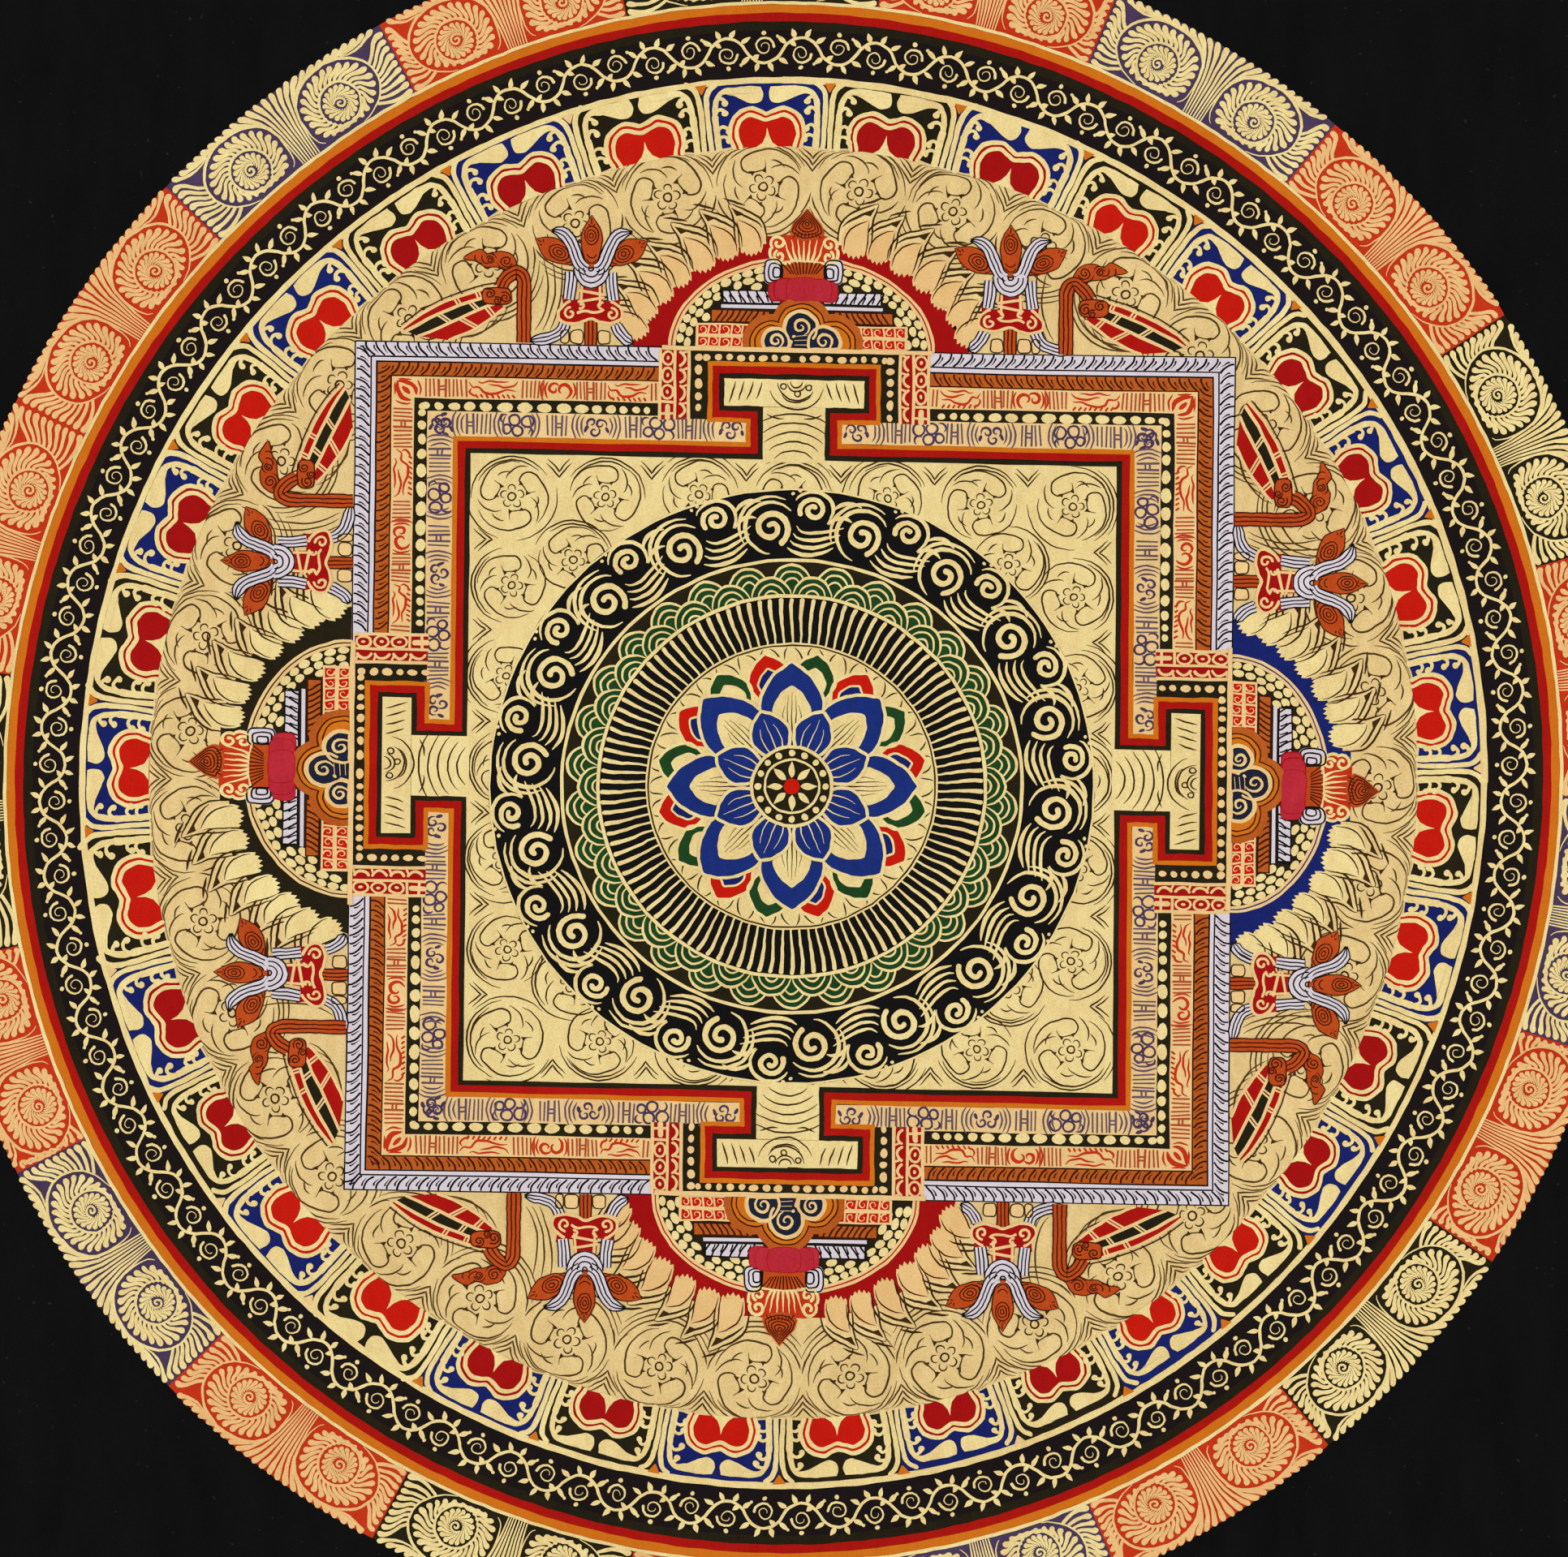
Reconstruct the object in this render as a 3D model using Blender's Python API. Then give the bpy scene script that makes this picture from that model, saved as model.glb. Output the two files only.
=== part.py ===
"""A painted scroll's canvas before mounting: one hand-cut square sheet of primed cotton.

The sheet lies flat, paint side up. Metres, +Z up, +X to the picture's right, +Y to its top.
The origin is the middle of the underside.
"""

import math

import bmesh
import bpy

# Driving dimensions
SIDE = 0.508  # the cut sheet, side to side
THICK = 0.001  # cotton with its chalk priming
WORN_EDGE = 0.00025  # how far the rim of the painted face is rounded off by handling
CORNER_TRIM = 0.0022  # radius of the scissor-rounded corners
STEPS_ALONG_SIDE = 28
STEPS_ROUND_CORNER = 5

# The hand-cut sides, anticlockwise from the bottom: how far the middle bows outwards,
# and the height, count and phase of the small waves that the scissors left
SIDES = (
    {"name": "bottom", "bow": -0.0008, "wave": 0.00022, "waves": 3, "phase": 0.4},
    {"name": "right", "bow": 0.0005, "wave": 0.00028, "waves": 4, "phase": 1.9},
    {"name": "top", "bow": -0.0004, "wave": 0.00020, "waves": 5, "phase": 2.7},
    {"name": "left", "bow": 0.0007, "wave": 0.00025, "waves": 3, "phase": 5.1},
)
PAINTED_GROUND = (0.0065, 0.0065, 0.0070, 1.0)


def clear_scene():
    """Removes whatever the file opens with."""
    for obj in list(bpy.data.objects):
        bpy.data.objects.remove(obj, do_unlink=True)


def canvas_material():
    """Matte black ground over chalk priming."""
    material = bpy.data.materials.new("painted_canvas")
    material.use_nodes = True
    shader = material.node_tree.nodes["Principled BSDF"]
    shader.inputs["Base Color"].default_value = PAINTED_GROUND
    shader.inputs["Roughness"].default_value = 0.62
    shader.inputs["Metallic"].default_value = 0.0
    return material


def side_offset(side, along):
    """How far a cut side stands outside its straight line, with along from 0 to 1."""
    fade = math.sin(math.pi * along)
    ripple = math.sin(2.0 * math.pi * side["waves"] * along + side["phase"])
    return fade * (side["bow"] + side["wave"] * ripple)


def turned(x, y, angle):
    """A point turned about the origin."""
    return (x * math.cos(angle) - y * math.sin(angle), x * math.sin(angle) + y * math.cos(angle))


def cut_line(inset):
    """The cut line as (x, y) points, anticlockwise from the bottom left corner, drawn in by inset."""
    reach = SIDE / 2.0 - inset
    straight = SIDE / 2.0 - CORNER_TRIM
    radius = CORNER_TRIM - inset
    points = []
    for index, side in enumerate(SIDES):
        turn = index * math.pi / 2.0
        for step in range(STEPS_ALONG_SIDE + 1):
            along = step / STEPS_ALONG_SIDE
            x = straight * (2.0 * along - 1.0)
            points.append(turned(x, -reach - side_offset(side, along), turn))
        for step in range(1, STEPS_ROUND_CORNER):
            angle = math.pi / 2.0 * (step / STEPS_ROUND_CORNER - 1.0)
            x = straight + radius * math.cos(angle)
            y = -straight + radius * math.sin(angle)
            points.append(turned(x, y, turn))
    return points


def centred(points, frame):
    """Points shifted so that the box round the frame's points has its middle at the origin."""
    middle = [(min(c) + max(c)) / 2.0 for c in zip(*frame)]
    return [(x - middle[0], y - middle[1]) for x, y in points]


def make_canvas():
    """The sheet: a flat underside, an upright cut edge and a painted face with a worn rim."""
    levels = (
        {"height": 0.0, "inset": 0.0},
        {"height": THICK - WORN_EDGE, "inset": 0.0},
        {"height": THICK, "inset": WORN_EDGE},
    )
    form = bmesh.new()
    rings = []
    for level in levels:
        outline = centred(cut_line(level["inset"]), cut_line(0.0))
        rings.append([form.verts.new((x, y, level["height"])) for x, y in outline])
    for lower, upper in zip(rings, rings[1:]):
        for here, there in zip(range(len(lower)), [*range(1, len(lower)), 0]):
            form.faces.new((lower[here], lower[there], upper[there], upper[here]))
    form.faces.new(list(reversed(rings[0])))
    form.faces.new(rings[-1])
    form.normal_update()
    mesh = bpy.data.meshes.new("canvas")
    form.to_mesh(mesh)
    form.free()
    mesh.materials.append(canvas_material())
    canvas = bpy.data.objects.new("canvas", mesh)
    bpy.context.scene.collection.objects.link(canvas)
    return canvas


def main():
    clear_scene()
    make_canvas()


main()
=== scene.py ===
"""Dresses the flat canvas with its painting: a round gold mandala on a black ground.

Every stroke is a thin ribbon of paint laid on the canvas. Sizes are in millimetres of canvas.
The ring's frame has its middle at the origin; the square's frame is a little off that and askew.
"""

import math
import random

import bpy
import numpy as np
from mathutils.geometry import tessellate_polygon
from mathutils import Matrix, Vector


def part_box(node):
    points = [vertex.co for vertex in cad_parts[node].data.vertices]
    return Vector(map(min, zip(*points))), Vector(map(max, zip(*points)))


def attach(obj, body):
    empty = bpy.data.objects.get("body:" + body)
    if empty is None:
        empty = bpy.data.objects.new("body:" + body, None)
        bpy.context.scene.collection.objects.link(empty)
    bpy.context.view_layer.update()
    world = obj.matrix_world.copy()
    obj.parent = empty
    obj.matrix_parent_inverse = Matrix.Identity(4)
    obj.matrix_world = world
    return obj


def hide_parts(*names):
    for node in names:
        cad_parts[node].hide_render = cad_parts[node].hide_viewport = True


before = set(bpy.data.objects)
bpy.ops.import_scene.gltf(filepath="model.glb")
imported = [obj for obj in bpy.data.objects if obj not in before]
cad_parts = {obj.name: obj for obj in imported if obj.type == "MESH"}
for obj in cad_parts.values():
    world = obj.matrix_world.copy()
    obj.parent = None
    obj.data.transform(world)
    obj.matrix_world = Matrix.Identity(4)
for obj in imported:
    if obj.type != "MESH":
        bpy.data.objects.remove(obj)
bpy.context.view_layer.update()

CANVAS_LOW, CANVAS_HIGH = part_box("canvas")

# ---------------- sizes, in millimetres
MM = 0.001
PAINT_LIFT = 0.035  # between one coat of paint and the next
CANVAS_TOP = CANVAS_HIGH[2] / MM
BRUSH_SWAY = 0.09  # how far a hand-drawn line wanders

RING = {
    "rim": 231.0,
    "swirl_in": 209.9,
    "orange": (206.9, 209.2),
    "red": (204.6, 206.9),
    "dark": (189.8, 204.6),
    "petal_out": 189.7,
    "petal_in": 171.4,
}
# The ring is a little out of round: waves round it, their height and the angle of the first crest
OUT_OF_ROUND = (
    {"waves": 2, "height": 0.48, "crest": 63.5},
    {"waves": 4, "height": 0.39, "crest": 32.0},
    {"waves": 3, "height": 0.14, "crest": 16.0},
    {"waves": 5, "height": 0.14, "crest": 16.5},
)
UNEVEN_FROM, UNEVEN_OVER = 120.0, 60.0  # where those waves begin, and the width they take to grow
# The square: half its side, and where its hand-drawn corners fall in the ring's frame
HALF_SQUARE = 116.6
SQUARE_CORNERS = {
    "top_left": (-113.7, 118.0),
    "top_right": (120.2, 113.0),
    "bottom_right": (118.9, -112.8),
    "bottom_left": (-116.5, -108.0),
}
# How much further in than usual the bands of each side run
BAND_EXTRAS = {"left": 1.2, "right": 1.3, "bottom": 0.9, "top": 0.7}

# ---------------- frames for drawing
PLACES = []


class placed:
    """Draws what follows in another frame: each mapping takes and gives an array of points."""

    def __init__(self, mapping):
        self.mapping = mapping

    def __enter__(self):
        PLACES.append(self.mapping)

    def __exit__(self, *_):
        PLACES.pop()


def moved(x=0.0, y=0.0, turn=0.0, scale=1.0, mirror=False):
    """A shift, after a turn in degrees, a scale and a left to right mirror."""
    angle = math.radians(turn)
    across = -scale if mirror else scale
    rows = np.array([
        [across * math.cos(angle), -scale * math.sin(angle)],
        [across * math.sin(angle), scale * math.cos(angle)],
    ])
    return lambda points: points @ rows.T + (x, y)


def both_sides(x=0.0):
    """The frame in use, shifted by x, and then its mirror image."""
    for side in (0, 1):
        with placed(moved(x, mirror=side == 1)):
            yield side


def around(count, first=0.0):
    """Frames turned evenly round the middle, clockwise, with the first one turned by first degrees."""
    for k in range(count):
        with placed(moved(turn=-(first + 360.0 / count * k))):
            yield k


def round_the_ring(angle, radius, base):
    """x runs clockwise round the ring at radius, and y outwards from base. angle is in degrees."""
    def mapping(points):
        bearing = math.radians(angle) - points[:, 0] / radius
        reach = base + points[:, 1]
        return np.stack([reach * np.cos(bearing), reach * np.sin(bearing)], axis=1)
    return mapping


def out_of_round(points):
    """The unevenness of the ring, which fades out over the square."""
    reach = np.hypot(points[:, 0], points[:, 1])
    bearing = np.arctan2(points[:, 1], points[:, 0])
    swell = sum(
        w["height"] * np.cos(w["waves"] * (bearing - math.radians(w["crest"])))
        for w in OUT_OF_ROUND
    )
    fade = np.clip((reach - UNEVEN_FROM) / UNEVEN_OVER, 0.0, 1.0)
    return points * (1.0 + fade * swell / np.maximum(reach, 1.0))[:, None]


def closed_in(across, low, high):
    """Moves the field's two edges in, and leaves the square's outer edges where they are."""
    before = (-2.0 * HALF_SQUARE, -BANDS_OUT, -FIELD_EDGE, FIELD_EDGE, BANDS_OUT, 2.0 * HALF_SQUARE)
    after = (before[0], before[1], before[2] + low, before[3] - high, before[4], before[5])
    return np.interp(across, before, after)


def on_the_square(points):
    """The square's frame, with its hand-drawn corners and bands of uneven width."""
    x = closed_in(points[:, :1], BAND_EXTRAS["left"], BAND_EXTRAS["right"])
    y = closed_in(points[:, 1:], BAND_EXTRAS["bottom"], BAND_EXTRAS["top"])
    u = 0.5 + x / (2.0 * HALF_SQUARE)
    v = 0.5 + y / (2.0 * HALF_SQUARE)
    c = {name: np.array(corner) for name, corner in SQUARE_CORNERS.items()}
    low = c["bottom_left"] * (1.0 - u) + c["bottom_right"] * u
    high = c["top_left"] * (1.0 - u) + c["top_right"] * u
    return low * (1.0 - v) + high * v


def hand_sway(points):
    """The small wandering of a brush held in the hand."""
    x, y = points[:, 0], points[:, 1]
    across = np.sin(0.9 * x + 1.7 * np.sin(0.43 * y)) + 0.6 * np.sin(2.3 * y + 0.8 * x)
    along = np.sin(0.8 * y + 1.9 * np.sin(0.51 * x)) + 0.6 * np.sin(2.1 * x - 0.9 * y)
    return points + BRUSH_SWAY * np.stack([across, along], axis=1)


# ---------------- curves
def arc(x, y, radius, start, end, steps=12, tall=None):
    """Points round a circle, or an ellipse that is tall high. Angles are in degrees."""
    angles = np.radians(np.linspace(start, end, steps + 1))
    high = radius if tall is None else tall
    return np.stack([x + radius * np.cos(angles), y + high * np.sin(angles)], axis=1)


def circle(x, y, radius, steps, tall=None):
    """A closed outline: a circle, or an ellipse that is tall high."""
    return arc(x, y, radius, 0.0, 360.0, steps, tall)[:-1]


def oblong(left, right, low, high):
    """A rectangle's corners."""
    return [(left, low), (right, low), (right, high), (left, high)]


def spiral(x, y, outer, inner, start, turns, steps=20):
    """Points along a spiral that winds in from outer to inner."""
    t = np.linspace(0.0, 1.0, steps + 1)
    angles = math.radians(start) + 2.0 * math.pi * turns * t
    reach = outer + (inner - outer) * t
    return np.stack([x + reach * np.cos(angles), y + reach * np.sin(angles)], axis=1)


def bezier(corners, places):
    """Points at the given places, from 0 to 1, along a Bezier curve."""
    t = places[:, None]
    s = 1.0 - t
    p = [np.array(q, float) for q in corners]
    return s**3 * p[0] + 3 * s * s * t * p[1] + 3 * s * t * t * p[2] + t**3 * p[3]


def bend(start, first, second, end, steps=8):
    """A Bezier curve in even steps."""
    return bezier((start, first, second, end), np.linspace(0.0, 1.0, steps + 1))


def through(points, steps=5):
    """A smooth curve through the points."""
    p = np.array(points, float)
    p = np.concatenate([2 * p[:1] - p[1:2], p, 2 * p[-1:] - p[-2:-1]])
    t = np.linspace(0.0, 1.0, steps, endpoint=False)[:, None]
    parts = []
    for a, b, c, d in zip(p, p[1:], p[2:], p[3:]):
        parts.append(0.5 * (2 * b + (c - a) * t + (2 * a - 5 * b + 4 * c - d) * t**2
                            + (3 * b - a - 3 * c + d) * t**3))
    return np.concatenate([*parts, p[-2:-1]])


def line(*points, step=6.0):
    """Straight runs, cut so that they can follow a bent frame."""
    parts = []
    for a, b in zip(points, points[1:]):
        a, b = np.array(a, float), np.array(b, float)
        count = max(1, int(np.hypot(*(b - a)) / step))
        parts.append(a + (b - a) * np.linspace(0.0, 1.0, count, endpoint=False)[:, None])
    return np.concatenate([*parts, np.array([points[-1]], float)])


def mirrored(half, *between):
    """An outline from one half of it: that half, any points on its middle, and its mirror image."""
    half = np.asarray(half, float)
    between = np.reshape(between, (-1, 2))
    return np.concatenate([half, between, half[::-1] * (-1.0, 1.0)])


def distances(points):
    """How far along a line each of its points is."""
    return np.concatenate([[0.0], np.cumsum(np.hypot(*np.diff(points, axis=0).T))])


def headings(points):
    """The way a line runs at each of its points, as arrows of length 1."""
    slope = np.gradient(points, axis=0)
    return slope / np.maximum(np.hypot(*slope.T), 1e-9)[:, None]


def leftward(arrows):
    """Arrows turned a quarter to the left."""
    return np.stack([-arrows[:, 1], arrows[:, 0]], axis=1)


def strip(count, start=0):
    """The faces between two rows of count points each, the first of them beginning at start."""
    near = start + np.arange(count - 1)
    return np.stack([near, near + 1, near + count + 1, near + count], axis=1)


# ---------------- brush widths along a stroke
def even(t):
    """As wide all along."""
    return np.ones_like(t)


def tapered(t):
    """Thin at both ends."""
    return 0.25 + 0.75 * np.sin(np.pi * np.clip(t, 0.0, 1.0)) ** 0.7


def fading(t):
    """Full at the start and thin at the end."""
    return 1.0 - 0.8 * t


def growing(t):
    """Thin at the start and full at the end."""
    return 0.3 + 0.7 * t


def ball_tipped(t):
    """A feather stroke: a slender tail that ends in a round drop."""
    return 0.60 + 0.2 * t + 0.36 * np.exp(-((t - 0.92) / 0.13) ** 2)


def stem_shaped(t):
    """A hair-thin foot that thickens to a round drop."""
    return 0.24 + 0.52 * t + 0.38 * np.exp(-((t - 0.94) / 0.09) ** 2)


def leaf_shaped(t):
    """Fullest before its middle, and nearly pointed at both ends."""
    return np.sin(np.pi * np.clip(0.04 + 0.93 * t**0.8, 0.0, 1.0))


def narrowing(t):
    """Full for most of its length, and pointed at its end."""
    return np.clip((1.03 - t) / 0.22, 0.12, 1.0)


# ---------------- paint
COATS = {}
NO_CORNER = -1  # in place of a triangle's fourth corner
STROKE_SHIFT = 0.42  # the most, in paint lifts, that strokes of one level stand apart where they cross
GOLDEN_SHARE = 0.618034  # spreads those shifts evenly
ROUND_END, ROUND_TIP = 0.7, 0.45  # how far a round end runs on and how wide it is, in half widths
PLAN_MAP = "OFBake"  # each piece's map, seen straight down


class Coat:
    """All the brushwork of one paint in one part of the picture, gathered for a single mesh."""

    def __init__(self, name):
        self.name = name
        self.points, self.faces, self.tones = [], [], []
        self.count = 0

    def lay(self, points, heights, faces):
        """Adds faces over points of the frame in use, at heights in paint lifts."""
        for mapping in reversed(PLACES):
            points = mapping(points)
        points = hand_sway(out_of_round(points))
        above = STROKE_SHIFT * (len(self.points) * GOLDEN_SHARE % 1.0)
        high = CANVAS_TOP + PAINT_LIFT * (above + np.broadcast_to(heights, len(points)))
        self.points.append(np.column_stack([points, high]))
        faces = np.asarray(faces)
        self.faces.append(np.where(faces < 0, NO_CORNER, faces + self.count))
        self.tones.append(np.full(len(points), random.random()))
        self.count += len(points)

    def stroke(self, points, width, level, shape=even, crown=0.0, round_ends=True):
        """A ribbon of paint along points. crown, in paint lifts, raises its middle."""
        points = np.asarray(points, float)
        along = distances(points)
        half = 0.5 * width * shape(along / max(along[-1], 1e-9))
        slope = headings(points)
        if round_ends:
            first, last = slope[0] * half[0] * ROUND_END, slope[-1] * half[-1] * ROUND_END
            points = np.concatenate([[points[0] - first], points, [points[-1] + last]])
            slope = np.concatenate([slope[:1], slope, slope[-1:]])
            half = np.concatenate([half[:1] * ROUND_TIP, half, half[-1:] * ROUND_TIP])
        side = leftward(slope) * half[:, None]
        n = len(points)
        if crown:
            rows = np.concatenate([points - side, points, points + side])
            edge = np.full(n, level)
            heights = np.concatenate([edge, level + crown * np.minimum(1.0, half / half.max()), edge])
            self.lay(rows, heights, np.concatenate([strip(n), strip(n, n)]))
        else:
            self.between(points - side, points + side, level)

    def loop(self, points, width, level, crown=0.0):
        """A ribbon round a closed outline."""
        points = np.asarray(points, float)
        self.stroke(np.concatenate([points, points[:1]]), width, level, crown=crown, round_ends=False)

    def area(self, points, level):
        """A filled outline."""
        points = np.asarray(points, float)
        triangles = tessellate_polygon([[(x, y, 0.0) for x, y in points]])
        self.lay(points, level, [(*corners, NO_CORNER) for corners in triangles])

    def between(self, first, second, level):
        """The strip between two curves with as many points each."""
        self.lay(np.concatenate([first, second]), level, strip(len(first)))

    def dab(self, x, y, wide, tall=None, turn=0.0, level=1, crown=1.2, sides=10):
        """A round or oval touch of paint, a little domed."""
        rim = circle(0.0, 0.0, wide / 2.0, sides, (tall or wide) / 2.0)
        points = moved(x, y, turn)(np.concatenate([[[0.0, 0.0]], rim]))
        heights = np.full(sides + 1, float(level))
        heights[0] += crown
        here = np.arange(sides)
        there = (here + 1) % sides
        centre = np.zeros(sides, int)
        triangles = np.stack([centre, here + 1, there + 1, np.full(sides, NO_CORNER)], axis=1)
        self.lay(points, heights, triangles)

    def build(self, material):
        """The finished mesh object, with every face turned up."""
        points = np.concatenate(self.points) * MM
        faces = np.concatenate(self.faces)
        x, y = points[faces, 0], points[faces, 1]
        x, y = (np.where(faces < 0, v[:, :1], v) for v in (x, y))
        ahead = [1, 2, 3, 0]
        turned_down = (x * y[:, ahead] - x[:, ahead] * y).sum(axis=1) < 0
        four = faces[:, 3] >= 0
        faces[turned_down & four] = faces[turned_down & four][:, ::-1]
        faces[turned_down & ~four, :3] = faces[turned_down & ~four, 2::-1]
        return mesh_object(self.name, points, faces, np.concatenate(self.tones), material)


def mesh_object(name, points, faces, tones, material):
    """An object from arrays: faces has four corners a row, and NO_CORNER last in a triangle."""
    mesh = bpy.data.meshes.new(name)
    corners = faces[faces >= 0]
    sizes = (faces >= 0).sum(axis=1)
    mesh.vertices.add(len(points))
    mesh.vertices.foreach_set("co", points.ravel())
    mesh.loops.add(len(corners))
    mesh.loops.foreach_set("vertex_index", corners)
    mesh.polygons.add(len(faces))
    mesh.polygons.foreach_set("loop_start", np.concatenate([[0], np.cumsum(sizes)[:-1]]))
    mesh.polygons.foreach_set("use_smooth", np.ones(len(faces), bool))
    mesh.update(calc_edges=True)
    mesh.attributes.new("tone", "FLOAT", "POINT").data.foreach_set("value", tones)
    flat = points[corners, :2]
    low = flat.min(axis=0)
    plan = mesh.uv_layers.new(name=PLAN_MAP)
    plan.data.foreach_set("uv", ((flat - low) / (flat - low).max() * 0.98 + 0.01).ravel())
    mesh.materials.append(material)
    return scene_object(name, mesh)


def scene_object(name, data):
    """An object in the scene, made of data."""
    obj = bpy.data.objects.new(name, data)
    bpy.context.scene.collection.objects.link(obj)
    return obj


def coat(part, paint):
    """The coat of one paint in one part of the picture."""
    return COATS.setdefault((part, paint), Coat(f"{part}_{paint}"))


def coats(part, *paints):
    """Several paints' coats in one part of the picture."""
    return [coat(part, paint) for paint in paints]


# ---------------- materials
def srgb(red, green, blue):
    """A colour given as it looks, from 0 to 255, in the linear values that Blender takes."""
    def linear(c):
        c /= 255.0
        return c / 12.92 if c <= 0.04045 else ((c + 0.055) / 1.055) ** 2.4
    return (linear(red), linear(green), linear(blue), 1.0)


# Each paint: its light and dark shades, roughness, metal, and how much its surface stands up
PAINTS = {
    "gold": ((255, 238, 170), (222, 188, 122), 0.46, 0.20, 0.55),
    "old_gold": ((255, 228, 164), (212, 176, 112), 0.44, 0.25, 0.6),
    "warm_gold": ((250, 206, 140), (220, 166, 104), 0.46, 0.15, 0.55),
    "pale_gold": ((250, 216, 152), (222, 180, 118), 0.5, 0.15, 0.5),
    "peach": ((242, 206, 142), (222, 174, 110), 0.45, 0.1, 0.6),
    "black": ((22, 20, 19), (12, 11, 11), 0.7, 0.0, 0.3),
    "ink": ((30, 21, 20), (16, 11, 12), 0.6, 0.0, 0.3),
    "line_ink": ((74, 48, 18), (42, 25, 8), 0.6, 0.0, 0.3),
    "brown_ink": ((96, 68, 30), (58, 38, 14), 0.6, 0.0, 0.3),
    "green_black": ((44, 36, 18), (22, 19, 9), 0.6, 0.0, 0.3),
    "red": ((184, 22, 12), (150, 10, 6), 0.5, 0.0, 0.35),
    "vermilion": ((206, 58, 24), (178, 38, 12), 0.5, 0.0, 0.35),
    "scarlet": ((206, 28, 10), (182, 16, 4), 0.5, 0.0, 0.35),
    "crimson": ((172, 16, 14), (146, 8, 8), 0.5, 0.0, 0.35),
    "rose": ((196, 48, 62), (166, 28, 42), 0.5, 0.0, 0.35),
    "orange": ((216, 122, 26), (194, 98, 14), 0.5, 0.0, 0.35),
    "rust": ((198, 102, 36), (162, 72, 18), 0.5, 0.0, 0.35),
    "ember": ((202, 86, 30), (166, 54, 14), 0.5, 0.0, 0.35),
    "russet": ((190, 88, 50), (158, 58, 28), 0.5, 0.0, 0.35),
    "rust_line": ((78, 26, 10), (50, 14, 5), 0.55, 0.0, 0.3),
    "blue": ((26, 38, 112), (14, 22, 82), 0.55, 0.0, 0.3),
    "indigo": ((84, 66, 98), (54, 38, 66), 0.55, 0.0, 0.3),
    "dusk": ((114, 92, 104), (84, 64, 80), 0.55, 0.0, 0.3),
    "night": ((34, 40, 62), (18, 22, 38), 0.55, 0.0, 0.3),
    "lavender": ((230, 219, 224), (202, 191, 200), 0.55, 0.0, 0.35),
    "green": ((34, 78, 34), (16, 46, 20), 0.55, 0.0, 0.3),
    "azure": ((30, 52, 128), (16, 34, 98), 0.5, 0.0, 0.3),
}
THREAD_PITCH = 0.42  # of the cloth, in millimetres


class Nodes:
    """Short ways to make a material out of nodes."""

    def __init__(self, name):
        self.material = bpy.data.materials.new(name)
        self.material.use_nodes = True
        self.tree = self.material.node_tree
        self.shader = self.tree.nodes["Principled BSDF"]
        self.place = self.add("ShaderNodeTexCoord").outputs["Object"]

    def add(self, kind, **values):
        """A new node with those settings."""
        node = self.tree.nodes.new(kind)
        for name, value in values.items():
            setattr(node, name, value)
        return node

    def feed(self, node, values):
        """Gives each input a fixed value, or links another node's output to it."""
        for name, value in values.items():
            if isinstance(value, (int, float, tuple)):
                node.inputs[name].default_value = value
            else:
                self.tree.links.new(value, node.inputs[name])

    def noise(self, size, detail=2.0, stretch=(1.0, 1.0, 1.0)):
        """Noise whose lumps are size millimetres across."""
        spread = self.add("ShaderNodeMapping")
        self.feed(spread, {"Scale": stretch, "Vector": self.place})
        cloud = self.add("ShaderNodeTexNoise")
        self.feed(cloud, {"Scale": 1.0 / (size * MM), "Detail": detail, "Vector": spread.outputs["Vector"]})
        return cloud.outputs["Fac"]

    def math(self, operation, first, second):
        """A sum or product of two numbers."""
        node = self.add("ShaderNodeMath", operation=operation)
        self.feed(node, {0: first, 1: second})
        return node.outputs[0]

    def total(self, *layers):
        """A sum of layers, each with its share."""
        parts = [self.math("MULTIPLY", layer, share) for layer, share in layers]
        mix = parts[0]
        for part in parts[1:]:
            mix = self.math("ADD", mix, part)
        return mix

    def span(self, value, low, high, to_low=0.0, to_high=1.0):
        """Stretches what lies between low and high to the span from to_low to to_high."""
        node = self.add("ShaderNodeMapRange")
        self.feed(node, {
            "Value": value, "From Min": low, "From Max": high, "To Min": to_low, "To Max": to_high,
        })
        return node.outputs[0]

    def blend(self, factor, dark, light):
        """A colour between two others."""
        node = self.add("ShaderNodeMix", data_type="RGBA")
        self.feed(node, {0: factor, 6: dark, 7: light})
        return node.outputs[2]

    def weave(self):
        """The cloth's plain weave: threads both ways."""
        heights = []
        for axis in ("X", "Y"):
            threads = self.add("ShaderNodeTexWave", bands_direction=axis)
            self.feed(threads, {
                "Scale": math.pi / (10.0 * THREAD_PITCH * MM), "Distortion": 0.8, "Vector": self.place,
            })
            heights.append(threads.outputs["Fac"])
        return self.math("MULTIPLY", *heights)

    def bump(self, height, strength, distance):
        """A surface that stands up to distance millimetres."""
        node = self.add("ShaderNodeBump")
        self.feed(node, {"Strength": strength, "Distance": distance * MM, "Height": height})
        return node.outputs["Normal"]

    def finish(self, **surface):
        """The material, with what its shader takes: Base_Color stands for its Base Color."""
        self.feed(self.shader, {name.replace("_", " "): value for name, value in surface.items()})
        return self.material


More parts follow.
